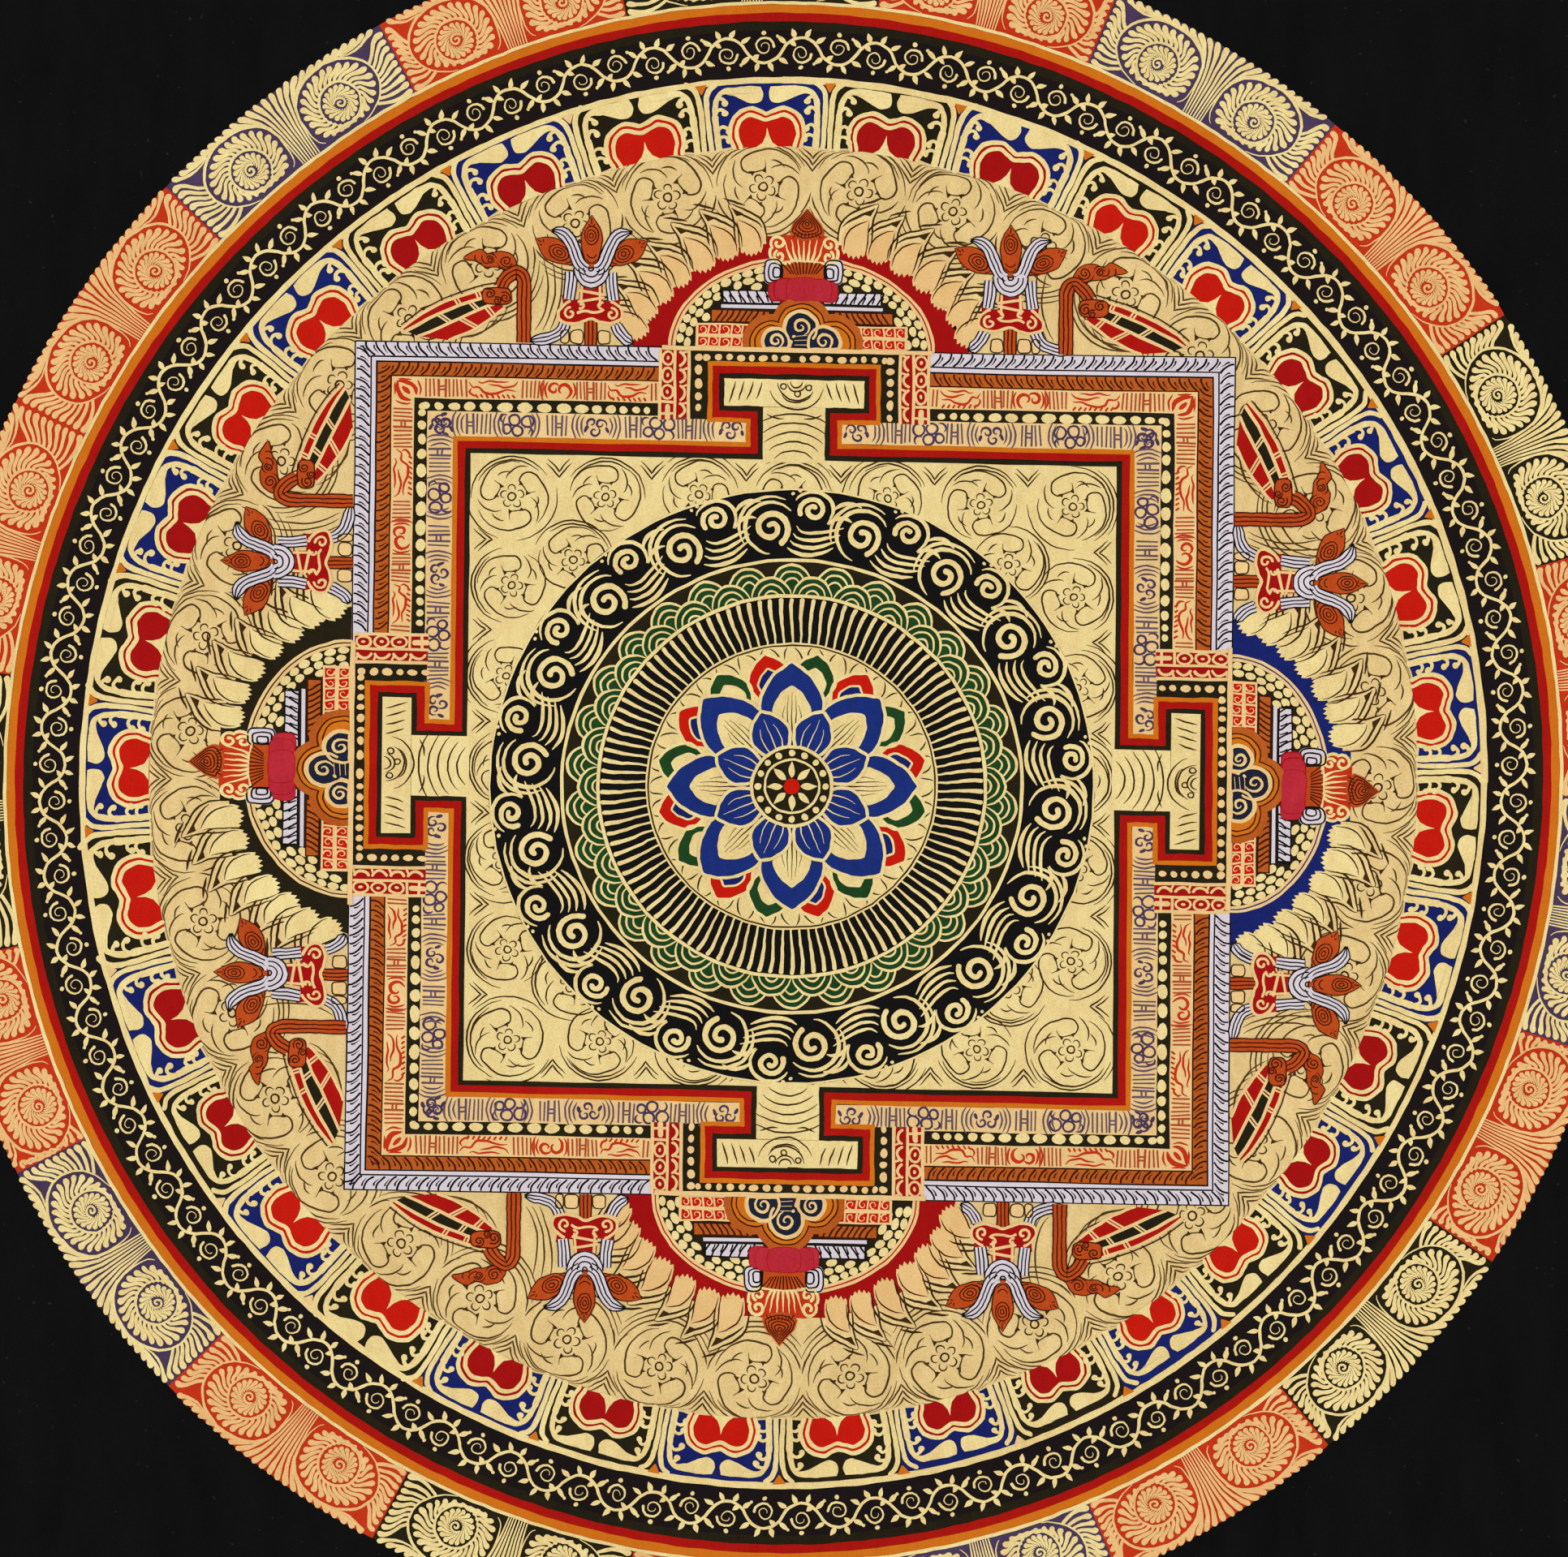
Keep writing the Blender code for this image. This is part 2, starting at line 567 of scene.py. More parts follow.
def paint_material(paint):
    """Brushed mineral paint or gold over a primed cloth: streaks, stroke to stroke tone and weave."""
    light, dark, rough, metal, relief = PAINTS[paint]
    n = Nodes(f"paint_{paint}")
    tone = n.add("ShaderNodeAttribute", attribute_name="tone").outputs["Fac"]
    grain = n.span(n.noise(0.55, 3.0), 0.3, 0.7)
    streaks = n.span(n.noise(2.6, 2.0, (1.0, 0.45, 1.0)), 0.32, 0.68)
    wear = n.span(n.noise(24.0, 2.0), 0.3, 0.7)
    mix = n.total((grain, 0.42), (streaks, 0.24), (wear, 0.16), (tone, 0.18))
    height = n.math("ADD", n.math("MULTIPLY", n.weave(), 0.5), grain)
    return n.finish(
        Base_Color=n.blend(mix, srgb(*dark), srgb(*light)),
        Roughness=n.span(grain, 0.0, 1.0, rough + 0.08, rough - 0.08),
        Metallic=metal, Specular_IOR_Level=0.05, Normal=n.bump(height, relief, 0.05),
    )


# ---------------- levels of paint
GROUND, FIELD, INLAY, LINE, OVER, OVER_LINE, TOP, TOP_LINE = range(1, 9)
FEATHER_STEPS = np.array([0.0, 0.2, 0.4, 0.58, 0.72, 0.81, 0.88, 0.94, 0.98, 1.0])


def feather(gold, start, first, second, end, width, level=OVER, shape=ball_tipped):
    """A slender stroke that ends in a round drop."""
    points = bezier((start, first, second, end), FEATHER_STEPS)
    gold.stroke(points, width * random.uniform(0.94, 1.06), level, shape, crown=1.2)


def unit(angle):
    """The arrow of length 1 that points that way, in degrees."""
    return np.array([math.cos(math.radians(angle)), math.sin(math.radians(angle))])


# ---------------- the outer ring of volutes
# Where each segment starts, in degrees, and its ground; they follow each other clockwise
SEGMENTS = (
    (136.0, "indigo"), (118.0, "vermilion"), (101.5, "green_black"), (83.0, "vermilion"),
    (67.0, "indigo"), (50.0, "vermilion"), (33.0, "green_black"), (16.0, "vermilion"),
    (-1.0, "indigo"), (-18.5, "vermilion"), (-34.0, "green_black"), (-50.5, "vermilion"),
    (-67.0, "indigo"), (-84.0, "vermilion"), (-101.0, "green_black"), (-118.5, "vermilion"),
    (-135.5, "indigo"), (-153.0, "vermilion"), (-168.0, "green_black"), (-188.0, "vermilion"),
    (-206.5, "vermilion"),
)
VOLUTE = {"wide": 11.4, "tall": 8.9, "from_middle": 15.7, "high": 9.7, "eye": 5.3, "eye_drop": 1.8}
FEATHER = 1.42  # width of a feather stroke at its drop
TIP_GAP = 2.55  # between the drops along an edge
STEMS = 4  # stems of the sheaf that rise from its foot, on each side


def volute_edge(angle, inset=0.0):
    """The volute's outline about its middle: an ellipse that runs down square beside the stems."""
    x, y = unit(angle)
    roundness = 2.0 if y > 0 or x < 0 else 4.5
    reach = np.array([abs(x), abs(y)]) ** (2.0 / roundness) * np.sign([x, y])
    return reach * (VOLUTE["wide"] - inset, VOLUTE["tall"] - inset)


def volute_tips(gap):
    """Points evenly spaced along the inside of the volute's outline."""
    edge = np.array([volute_edge(angle, 0.95) for angle in range(0, 361, 4)])
    along = distances(edge)
    places = np.linspace(0.0, along[-1], int(along[-1] / gap), endpoint=False)
    return np.column_stack([np.interp(places, along, edge[:, 0]), np.interp(places, along, edge[:, 1])])


def volute(gold):
    """Two turns of feather strokes round an eye, seen from the volute's middle."""
    eye = np.array([0.4, -VOLUTE["eye_drop"]])
    for tip in volute_tips(2.35):
        angle = math.degrees(math.atan2(*(tip - eye)[::-1]))
        root = eye + unit(angle - 26.0) * (VOLUTE["eye"] + 0.5)
        span = np.hypot(*(tip - root))
        if span > 1.3:
            feather(gold, root, root + unit(angle - 16.0) * span * 0.4,
                    tip - unit(angle + 12.0) * span * 0.35, tip, FEATHER)
    for angle in np.arange(0.0, 360.0, 21.2):
        root, tip = eye + unit(angle - 50.0) * 1.9, eye + unit(angle) * (VOLUTE["eye"] - 0.8)
        feather(gold, root, root + unit(angle - 10.0) * 1.1, tip - unit(angle + 18.0) * 1.2, tip,
                1.3, OVER, stem_shaped)
    gold.stroke(spiral(*eye, 1.75, 0.3, 30.0, 1.3, 18), 0.6, OVER, crown=0.8)
    winding = spiral(*eye, VOLUTE["eye"] + 0.7, VOLUTE["eye"] + 0.3, -80.0, 1.0, 36)
    gold.stroke(winding, 0.75, OVER, tapered, crown=0.8)
    arm = np.array([volute_edge(angle, -0.7) for angle in range(-48, 262, 9)])
    gold.stroke(arm, 0.75, OVER, tapered, crown=0.8)


def stems_and_fans(gold, half, high):
    """The sheaf beside the volute and the fans from its back to the segment's edges, left half."""
    middle = np.array([-VOLUTE["from_middle"], VOLUTE["high"]])
    top = high - 0.75
    for k, x in enumerate(np.arange(0.5 * TIP_GAP, half - 0.9, TIP_GAP)):
        tip = np.array([-x, top])
        if k < STEMS:
            foot = -0.42 - 0.76 * k
            feather(gold, (foot, 0.3), (foot * 1.1, 9.0), (-0.42 * x, 16.0), tip,
                    FEATHER, OVER, stem_shaped)
        else:
            angle = np.interp(x, (STEMS * TIP_GAP, half), (12.0, 132.0))
            root = middle + volute_edge(angle, -1.1)
            side = unit(angle + 90.0) * (1.0, 0.75)
            span = np.hypot(*(tip - root))
            feather(gold, root, root + side * span * 0.4, tip + np.array([0.45, -0.35]) * span * 0.6, tip,
                    FEATHER, OVER, stem_shaped)
    for y in np.arange(1.1, high - 1.4, TIP_GAP * 0.84):
        tip = np.array([-half + 0.95, y])
        angle = np.interp(y, (0.0, high), (232.0, 150.0))
        root = middle + volute_edge(angle, -1.0)
        span = np.hypot(*(tip - root))
        feather(gold, root, root + unit(angle - 20.0) * span * 0.4,
                tip + np.array([0.35, 0.22 * (y / high - 0.6)]) * span, tip, FEATHER)


def swirl_ring():
    """The outer ring: segments of coloured ground almost hidden by gold volutes."""
    base, high = RING["swirl_in"], RING["rim"] - RING["swirl_in"]
    radius = base + 0.5 * high
    ends = [start for start, _ in SEGMENTS[1:]] + [SEGMENTS[0][0] - 360.0]
    for number, ((start, ground), end) in enumerate(zip(SEGMENTS, ends)):
        half = math.radians(start - end) * radius / 2.0
        gold = coat(f"swirl_ring_{number % 3}", "warm_gold" if ground == "vermilion" else "gold")
        with placed(round_the_ring((start + end) / 2.0, radius, base)):
            across = np.linspace(-half, half, 24)
            floor = np.stack([across, np.full(24, -0.6)], axis=1)
            coat("swirl_ring", ground).between(floor, floor + (0.0, high + 0.1), FIELD)
            for _ in both_sides():
                stems_and_fans(gold, half, high)
                with placed(moved(-VOLUTE["from_middle"], VOLUTE["high"])):
                    volute(gold)


# ---------------- plain rings
def ring_line(radius, width):
    """A hand-drawn gold line all round, with its weight changing a little."""
    gold = coat("rings", "gold")
    points = arc(0.0, 0.0, radius, 0.0, 360.0, 480)
    for start in range(0, 480, 60):
        weight = width * random.uniform(0.9, 1.1)
        gold.stroke(points[start:start + 61], weight, LINE, crown=0.8, round_ends=False)


def plain_ring(paint, inner, outer, level):
    """A flat ring of one paint."""
    coat("rings", paint).between(arc(0, 0, outer, 0, 360, 360), arc(0, 0, inner, 0, 360, 360), level)


def plain_rings():
    """Orange, red and black rings, with the black one's greenish outer shade."""
    plain_ring("orange", *RING["orange"], GROUND)
    plain_ring("red", *RING["red"], GROUND)
    plain_ring("ink", *RING["dark"], GROUND)
    plain_ring("green_black", RING["dark"][1] - 2.4, RING["dark"][1], FIELD)
    ring_line(209.6, 0.95)
    ring_line(188.8, 1.7)


# ---------------- the ring of petals
# Where each petal's middle falls, in degrees anticlockwise from the right. Every other one is blue.
PETAL_MIDDLES = (
    6.5, 17.0, 28.0, 37.4, 48.5, 58.7, 69.5, 81.0, 91.2, 102.2, 113.5, 124.0,
    135.0, 145.8, 156.3, 167.8, 178.5, 189.5, 201.8, 211.5, 221.8, 233.2, 244.2, 254.2,
    264.6, 274.8, 285.1, 294.5, 304.5, 314.0, 324.2, 334.1, 345.0, 356.0,
)
PETAL_RADIUS = 180.5  # where the petals' widths are measured
PETAL_HALF = 16.7  # half of a usual petal
PETAL_REACH = 5.3  # degrees from a petal's middle to its edge
CURL_HEADS = (12.6, 9.7, 4.9, 2.3)  # heights of the curls along a petal's sides


def lobe_edge(offset):
    """The outline of a petal's double heart, or a line outside it."""
    o = offset
    left = [(-7.0 - o, -0.4), (-8.0 - o, 3.3), (-7.0 - 0.8 * o, 6.2 + 0.7 * o),
            (-4.6, 7.6 + o), (-1.8, 6.8 + o)]
    return through(mirrored(left, (0.0, 6.2 + o)), 4)


def petal_leaf(gold):
    """The long drop that hangs from a petal's shoulder to its middle, on the left."""
    upper = through([(-14.6, 8.0), (-14.0, 12.4), (-11.6, 15.4), (-7.5, 15.9), (-3.6, 15.9)], 4)
    round_end = through([(-1.2, 15.7), (-0.7, 13.6), (-1.3, 11.9), (-3.1, 11.2), (-5.1, 11.8)], 4)
    lower = through([(-8.4, 13.5), (-11.0, 14.0), (-12.4, 12.4), (-13.2, 8.0)], 4)
    gold.area(np.concatenate([upper, round_end, lower]), OVER)


def petal_curls(gold):
    """Comma strokes that peel off a petal's left side and droop to a round head."""
    for high in CURL_HEADS:
        head_x = -10.7 + random.uniform(-0.5, 0.4)
        high = high + random.uniform(-0.3, 0.3)
        low = max(high - 4.2, -0.2)
        path = bend((-13.9, low), (-13.9, high + 0.4), (-12.3, high + 1.7), (head_x, high - 0.1), 8)
        gold.stroke(path, 1.05, OVER_LINE, growing, crown=0.8)
        gold.dab(head_x, high - 0.55, 1.75, 1.7, 0.0, OVER_LINE, crown=1.1)


def petal_heart(gold, red):
    """The double heart at a petal's foot, in rims of gold and red."""
    red.area(lobe_edge(0.0), LINE)
    gold.stroke(lobe_edge(0.55), 1.1, OVER, crown=0.8)
    red.stroke(lobe_edge(1.4), 0.7, OVER)
    gold.stroke(lobe_edge(2.3), 1.15, OVER, crown=0.8)
    gold.area([(-3.3, -0.6), (-1.4, 0.7), (-0.45, 2.6), (0.0, 4.6), (0.45, 2.6), (1.4, 0.7), (3.3, -0.6)],
              OVER)


def petal(paint, red, half):
    """One petal. y is measured outwards from the cloud ring."""
    gold, ground = coats("petals", "gold", paint)
    across = np.linspace(-half, half, 11)
    ground.between(np.column_stack([across, np.full(11, -0.6)]),
                   np.column_stack([across, np.full(11, 17.9)]), GROUND)
    with placed(moved(scale=half / PETAL_HALF)):
        shift = random.uniform(-0.6, 0.6)
        with placed(moved(shift)):
            petal_heart(gold, coat("petals", red))
        for _ in both_sides():
            petal_leaf(gold)
            petal_curls(gold)
            gold.stroke(through([(-13.7, -0.5), (-13.8, 4.0), (-13.8, 8.4)], 4), 1.8, OVER, crown=0.8)
            outer = [(-15.7, -0.5), (-15.9, 6.0), (-15.8, 12.0), (-15.0, 15.1), (-13.0, 17.0)]
            gold.stroke(through(outer, 4), 1.35, OVER, crown=0.6)


def petal_gap(half_before):
    """The orange wedge between two petals' shoulders."""
    orange = coat("petals", "pale_gold" if random.random() < 0.2 else "orange")
    x = half_before
    orange.area([(x - 1.6, 17.0), (x + 1.6, 17.0), (x + 0.15, 14.6), (x - 0.15, 14.6)], OVER_LINE)


def petal_ring():
    """Every petal, as wide as its neighbours leave it."""
    befores = (PETAL_MIDDLES[-1] - 360.0, *PETAL_MIDDLES)
    afters = (*PETAL_MIDDLES[1:], PETAL_MIDDLES[0] + 360.0)
    for k, (before, middle, after) in enumerate(zip(befores, PETAL_MIDDLES, afters)):
        left, right = (after + middle) / 2.0, (before + middle) / 2.0
        half = math.radians(left - right) / 2.0 * PETAL_RADIUS
        paint = "green_black" if k % 2 else "blue"
        red = "crimson" if k // 2 % 2 else "scarlet"
        with placed(round_the_ring((left + right) / 2.0, PETAL_RADIUS, RING["petal_in"])):
            petal(paint, red, half)
            petal_gap(half)


# ---------------- gold fields with swirling flowers
FLOWER_PITCH = 9.23  # degrees from flower to flower round the cloud ring
FLOWER_RADIUS = 160.2
INK_LINE = 0.47
# Arcs round a cloud flower: radius, and the angles where each starts and ends
CLOUD_ARCS = (
    (13.7, 50.0, 84.0), (13.7, 96.0, 130.0), (12.7, 192.0, 345.0), (14.1, 202.0, 335.0),
    (15.5, 214.0, 322.0),
)
CLOUD_BULGE = 0.75  # how much the cloud ring's edge swells under a petal's middle and shrinks between
CLOUD_SQUEEZE = (1.8, 1.5)  # lines from this far inside the edge are pressed into this much of it
CLOUD_HOLE = 104.0  # the ring's inner edge, under the square and the arches
LOBE_LINE = (
    (2.7, 7.0), (2.0, 4.9), (-0.2, 4.6), (-2.7, 4.9), (-3.9, 6.5), (-3.6, 8.5),
    (-2.0, 9.8), (1.4, 10.2), (5.0, 9.7), (8.2, 7.7), (10.4, 4.6), (11.2, 1.6),
)


def swirl_flower(ink, heart_ink, size, turn, mirror, level=INLAY):
    """A round flower of curling lobes, drawn in dark line."""
    with placed(moved(turn=turn, scale=size, mirror=mirror)):
        heart_ink.loop(circle(0.0, 0.0, 1.15, 12), 0.5, level)
        for k in range(5):
            bead = unit(72.0 * k + 20.0) * 2.5
            knob = arc(*bead, 1.15, 72.0 * k - 95.0, 72.0 * k + 135.0, 8)
            heart_ink.stroke(knob, 0.44, level, tapered)
        for k in range(3):
            turned = 120.0 * k + random.uniform(-9.0, 9.0)
            with placed(moved(turn=turned, scale=random.uniform(0.94, 1.03))):
                swirl_lobe(ink, heart_ink, level)
    for reach, span in ((11.6, 110.0), (12.7, 150.0)):
        tilt = random.uniform(-18.0, 18.0)
        path = arc(0.0, 0.0, reach * size, 90.0 + tilt + span / 2.0, 90.0 + tilt - span / 2.0, 22)
        ink.stroke(path, INK_LINE, level, tapered)


def swirl_lobe(ink, heart_ink, level):
    """A lobe that curls like a comma, and whose back runs on round the flower."""
    ink.stroke(through(LOBE_LINE, 3), INK_LINE * 1.15, level, tapered)
    ink.stroke(bend((-5.0, 9.6), (-7.2, 7.2), (-7.6, 3.6), (-5.6, 1.6), 8), INK_LINE, level, tapered)
    ink.stroke(bend((4.4, 6.6), (5.6, 6.4), (6.8, 5.4), (7.2, 3.6), 6), INK_LINE, level, tapered)
    for corners in (((2.5, 5.4), (1.0, 4.6), (2.0, 3.5)), ((-2.6, 5.3), (-1.0, 4.9), (-1.8, 3.8))):
        heart_ink.area(corners, level)


def chevrons(ink, high, count, gap, reach, level=INLAY):
    """Nested points where two flowers' arcs meet, opening upwards from high."""
    for k in range(count):
        tip = high + gap * k
        spread = reach * (1.0 - 0.12 * k)
        left = bend((-spread, tip + spread * 1.15), (-spread * 0.6, tip + spread * 0.8),
                    (-0.5, tip + 0.9), (0.0, tip), 6)
        ink.stroke(np.concatenate([left, left[-2::-1] * (-1.0, 1.0)]), INK_LINE, level, tapered)


def cloud_edge(bearing):
    """How far out the cloud ring reaches at each bearing, in degrees."""
    nearest = np.abs((bearing[:, None] - PETAL_MIDDLES + 180.0) % 360.0 - 180.0).min(axis=1)
    return RING["petal_in"] + 0.2 + CLOUD_BULGE * np.cos(np.radians(nearest / PETAL_REACH * 180.0))


def under_petals(points):
    """Presses the lines that would cross the cloud ring's outer edge in against it."""
    reach = np.hypot(points[:, 0], points[:, 1])
    start, room = CLOUD_SQUEEZE
    knee = cloud_edge(np.degrees(np.arctan2(points[:, 1], points[:, 0]))) - start
    beyond = np.maximum(reach - knee, 0.0)
    eased = np.minimum(reach, knee) + room * (1.0 - np.exp(-beyond / room))
    return points * (eased / reach)[:, None]


def cloud_ring():
    """The gold ring of flowers between the petals and the square."""
    gold, ink = coats("clouds", "old_gold", "brown_ink")
    bearings = np.linspace(0.0, 360.0, 721)
    way = np.stack([np.cos(np.radians(bearings)), np.sin(np.radians(bearings))], axis=1)
    gold.between(way * cloud_edge(bearings)[:, None], way * CLOUD_HOLE, FIELD)
    with placed(under_petals):
        for k in range(int(360.0 / FLOWER_PITCH)):
            cloud_flower(ink, 91.9 + FLOWER_PITCH * k)


def cloud_flower(ink, bearing):
    """One flower of the cloud ring with the arcs round it, and the points between it and the next."""
    with placed(round_the_ring(bearing, FLOWER_RADIUS, FLOWER_RADIUS)):
        swirl_flower(ink, coat("clouds", "line_ink"), 0.97, random.uniform(0.0, 90.0),
                     random.random() < 0.5)
        for reach, low, high in CLOUD_ARCS:
            ink.stroke(arc(0.0, 0.0, reach, low, high, 14), INK_LINE, INLAY, tapered)
    with placed(round_the_ring(bearing + FLOWER_PITCH / 2.0, FLOWER_RADIUS, FLOWER_RADIUS)):
        chevrons(ink, 4.4, 3, 1.7, 4.2)
        low = bend((-2.6, -6.6), (-1.2, -5.4), (-0.3, -3.6), (0.0, -1.4), 6)
        ink.stroke(low, INK_LINE, INLAY, tapered)
        ink.stroke(low * (-1.0, 1.0) + (0.4, -1.0), INK_LINE, INLAY, tapered)


# ---------------- the square and its bands
BANDS_OUT, FIELD_EDGE = 117.75, 87.75  # from the middle to where the bands and the gold field end
# Bands of a side, from the outside in: paint, and how far from the middle each ends
BANDS = (
    ("black", 117.4), ("lavender", 113.75), ("black", 113.35), ("lavender", 112.35), ("black", 111.9),
    ("rust", 108.5), ("rust_line", 108.1), ("pale_gold", 102.35), ("green_black", 98.95),
    ("pale_gold", 92.25),
)
# The field's border follows the gate's outline: paint, and its span from the gold edge outwards
BORDER = (("green_black", -0.05, 1.35), ("red", 1.3, 3.25), ("orange", 3.2, 4.5))
RED_MIDDLE, RED_REACH = 105.2, 2.3  # the line of the red figures, and how far they reach from it
INDIGO_MIDDLE, INDIGO_REACH = 95.6, 2.7
BEADS_MIDDLE = 100.3
STEM_HALF = 8.5  # the gate's gold stem
BAR_HALF = 19.0  # and its cross bar
BAR_LOW, BAR_HIGH = 102.0, 109.5
PILASTER, GATE_HALF = 28.4, 36.8  # where the pilaster begins and ends
MARK_PITCH = 2.72  # of the hatching
FIGURE_LINE = 0.6


def evenly(points, steps):
    """Each straight run cut in as many steps."""
    points = np.array(points, float)
    share = np.linspace(0.0, 1.0, steps, endpoint=False)[:, None]
    runs = [a + (b - a) * share for a, b in zip(points, points[1:])]
    return np.concatenate([*runs, points[-1:]])


def bands():
    """The plain bands of half a side: x runs from the gate to the corner."""
    far = evenly([(0.0, BANDS_OUT), (BANDS_OUT, BANDS_OUT)], 10)
    for paint, inner in BANDS:
        near = evenly([(0.0, inner), (inner, inner)], 10)
        coat("square", paint).between(near, far, OVER)
        far = near


def leaning_marks(ink, low, high, start, end, lean, hook):
    """Curved hatching across a band, with a short stroke beside each mark."""
    x = start
    tall = high - low
    while x < end:
        pitch = MARK_PITCH * random.uniform(0.9, 1.1)
        foot = x - lean * 0.5
        path = bend((foot + lean, high - 0.05), (foot + lean * 1.05, high - tall * 0.45),
                    (foot + lean * 0.4, low + tall * 0.2), (foot, low + 0.05), 6)
        ink.stroke(path, 0.5, OVER_LINE, round_ends=False)
        short = bend((x + hook + lean * 0.25, low + tall * 0.68),
                     (x + hook + lean * 0.25, low + tall * 0.45),
                     (x + hook - lean * 0.05, low + tall * 0.35),
                     (x + hook - lean * 0.25, low + tall * 0.14), 4)
        ink.stroke(short, 0.46, OVER_LINE, fading)
        x += pitch


def upright_bars(ink, middle, low, high, count, gap):
    """A group of nearly upright strokes."""
    lean = random.uniform(-0.15, 0.15)
    for k in range(count):
        x = middle + (k - (count - 1) / 2.0) * gap
        top = x + lean + random.uniform(-0.12, 0.12)
        ink.stroke(line((x - lean, low + random.uniform(-0.1, 0.3)), (top, high)), 0.46, OVER_LINE)


def ladder(ink, middle, low, high):
    """Two uprights with rungs."""
    half = 0.85
    for side in (-half, half):
        ink.stroke(line((middle + side, low), (middle + side, high)), FIGURE_LINE, OVER_LINE)
    for share in (0.4, 0.6):
        y = low + (high - low) * share
        ink.stroke(line((middle - half, y), (middle + half, y)), FIGURE_LINE * 0.8, OVER_LINE)


def nested_arcs(ink, x, y, first, count, gap, start, end, width=0.56):
    """Arcs round one middle, gap apart."""
    for k in range(count):
        ink.stroke(arc(x, y, first + gap * k, start, end, 8), width, OVER_LINE, tapered)


def small_clover(ink, x, y, size=1.0):
    """A curled bud between bracketing arcs."""
    curls = ((-1.2, 0.6, 1.6, 200.0, -1.1), (1.3, 0.9, 1.5, 300.0, 1.0), (0.5, -1.3, 1.5, 140.0, 1.0))
    for dx, dy, reach, start, turns in curls:
        curl = spiral(x + dx * size, y + dy * size, reach * size, 0.4 * size, start, turns, 12)
        ink.stroke(curl, FIGURE_LINE * 1.15, OVER_LINE, tapered)
    ink.dab(x + 2.9 * size, y - 0.6, 1.0, 2.0, 20.0, OVER_LINE, crown=0.0)
    ink.dab(x - 2.9 * size, y - 1.0, 0.9, 1.8, -25.0, OVER_LINE, crown=0.0)


def linked_circles(ink, x, y):
    """Four circles that touch, and two arcs beside them."""
    for dx, dy, r in ((-2.3, 0.95, 1.6), (1.3, 1.3, 1.55), (0.4, -1.65, 1.4), (3.3, -1.2, 1.2)):
        ink.loop(circle(x + dx, y + dy, r, 12), FIGURE_LINE, OVER_LINE)
    ink.stroke(arc(x - 2.3, y - 1.9, 1.3, 40.0, 240.0, 8), FIGURE_LINE, OVER_LINE, tapered)
    ink.stroke(arc(x + 3.8, y + 1.6, 1.2, -60.0, 120.0, 8), FIGURE_LINE, OVER_LINE, tapered)


def wave_scroll(ink, x, y, stretch):
    """A long wave with a crest, as in cloud borders."""
    back = [(-5.6, 2.1), (-4.6, 0.9), (-2.4, 0.4), (-0.6, 0.9), (0.9, 1.1)]
    belly = [(-5.2, -0.4), (-3.0, -0.3), (-0.6, -1.3), (1.8, -1.2), (3.0, 0.4), (4.6, 0.4), (5.4, 1.7)]
    crest = [(-3.6, 2.1), (-1.4, 1.8), (0.8, 2.1), (2.6, 1.6), (3.4, 2.0)]
    tail = [(3.4, -2.0), (4.6, -1.8), (5.3, -0.8), (5.0, 0.2)]
    for points, width in ((back, 1.0), (belly, 1.15), (crest, 0.9), (tail, 1.0)):
        wave = through([(x + dx * stretch, y + dy) for dx, dy in points], 4)
        ink.stroke(wave, FIGURE_LINE * width, OVER_LINE, tapered)
    for k in range(int(7 * stretch)):
        foot = x - 5.0 * stretch + 1.45 * k
        ink.stroke(line((foot, y - 2.4), (foot + 0.5, y - 1.7)), FIGURE_LINE * 0.9, OVER_LINE)


def red_swirl(ink, x, y):
    """Two spirals back to back between arcs."""
    ink.stroke(spiral(x - 1.1, y, 2.4, 0.8, 250.0, -0.85, 14), FIGURE_LINE * 1.6, OVER_LINE, tapered)
    ink.stroke(spiral(x + 1.5, y + 0.3, 1.8, 0.6, 150.0, -1.0, 12), FIGURE_LINE * 1.4, OVER_LINE, tapered)
    nested_arcs(ink, x + 0.2, y, 3.7, 2, 1.1, -36.0, 36.0)
    nested_arcs(ink, x - 0.4, y, 3.9, 1, 1.1, 144.0, 216.0)


# What stands along half a side of the two gold bands: the figure, how far it is from the middle of
# the side, and a count of bars or a wave's stretch
RED_RUN = (
    ("bars", 38.2, 2), ("wave", 45.2, 1.0), ("bars", 52.6, 3), ("ladder", 55.3, 0),
    ("bars", 58.0, 3), ("swirl", 63.8, 0), ("bars", 71.0, 6), ("wave", 81.8, 1.2),
    ("bars", 91.2, 5), ("ladder", 95.2, 0), ("bars", 98.3, 3),
)
INDIGO_RUN = (
    ("bud", 16.9, 0), ("brackets", 18.0, 0), ("bars", 26.0, 2), ("ladder", 28.4, 0),
    ("bars", 30.9, 2), ("circles", 36.2, 0), ("bars", 41.6, 1), ("ladder", 43.6, 0),
    ("bars", 45.6, 1), ("back_brackets", 53.6, 0), ("bud", 53.6, 0), ("brackets", 53.6, 0),
    ("bars", 61.8, 1), ("ladder", 63.8, 0), ("bars", 66.3, 2), ("back_brackets", 75.6, 0),
    ("circles", 74.6, 0), ("brackets", 74.8, 0), ("bars", 84.2, 4), ("ladder", 87.8, 0),
    ("brackets", 86.0, 0),
)


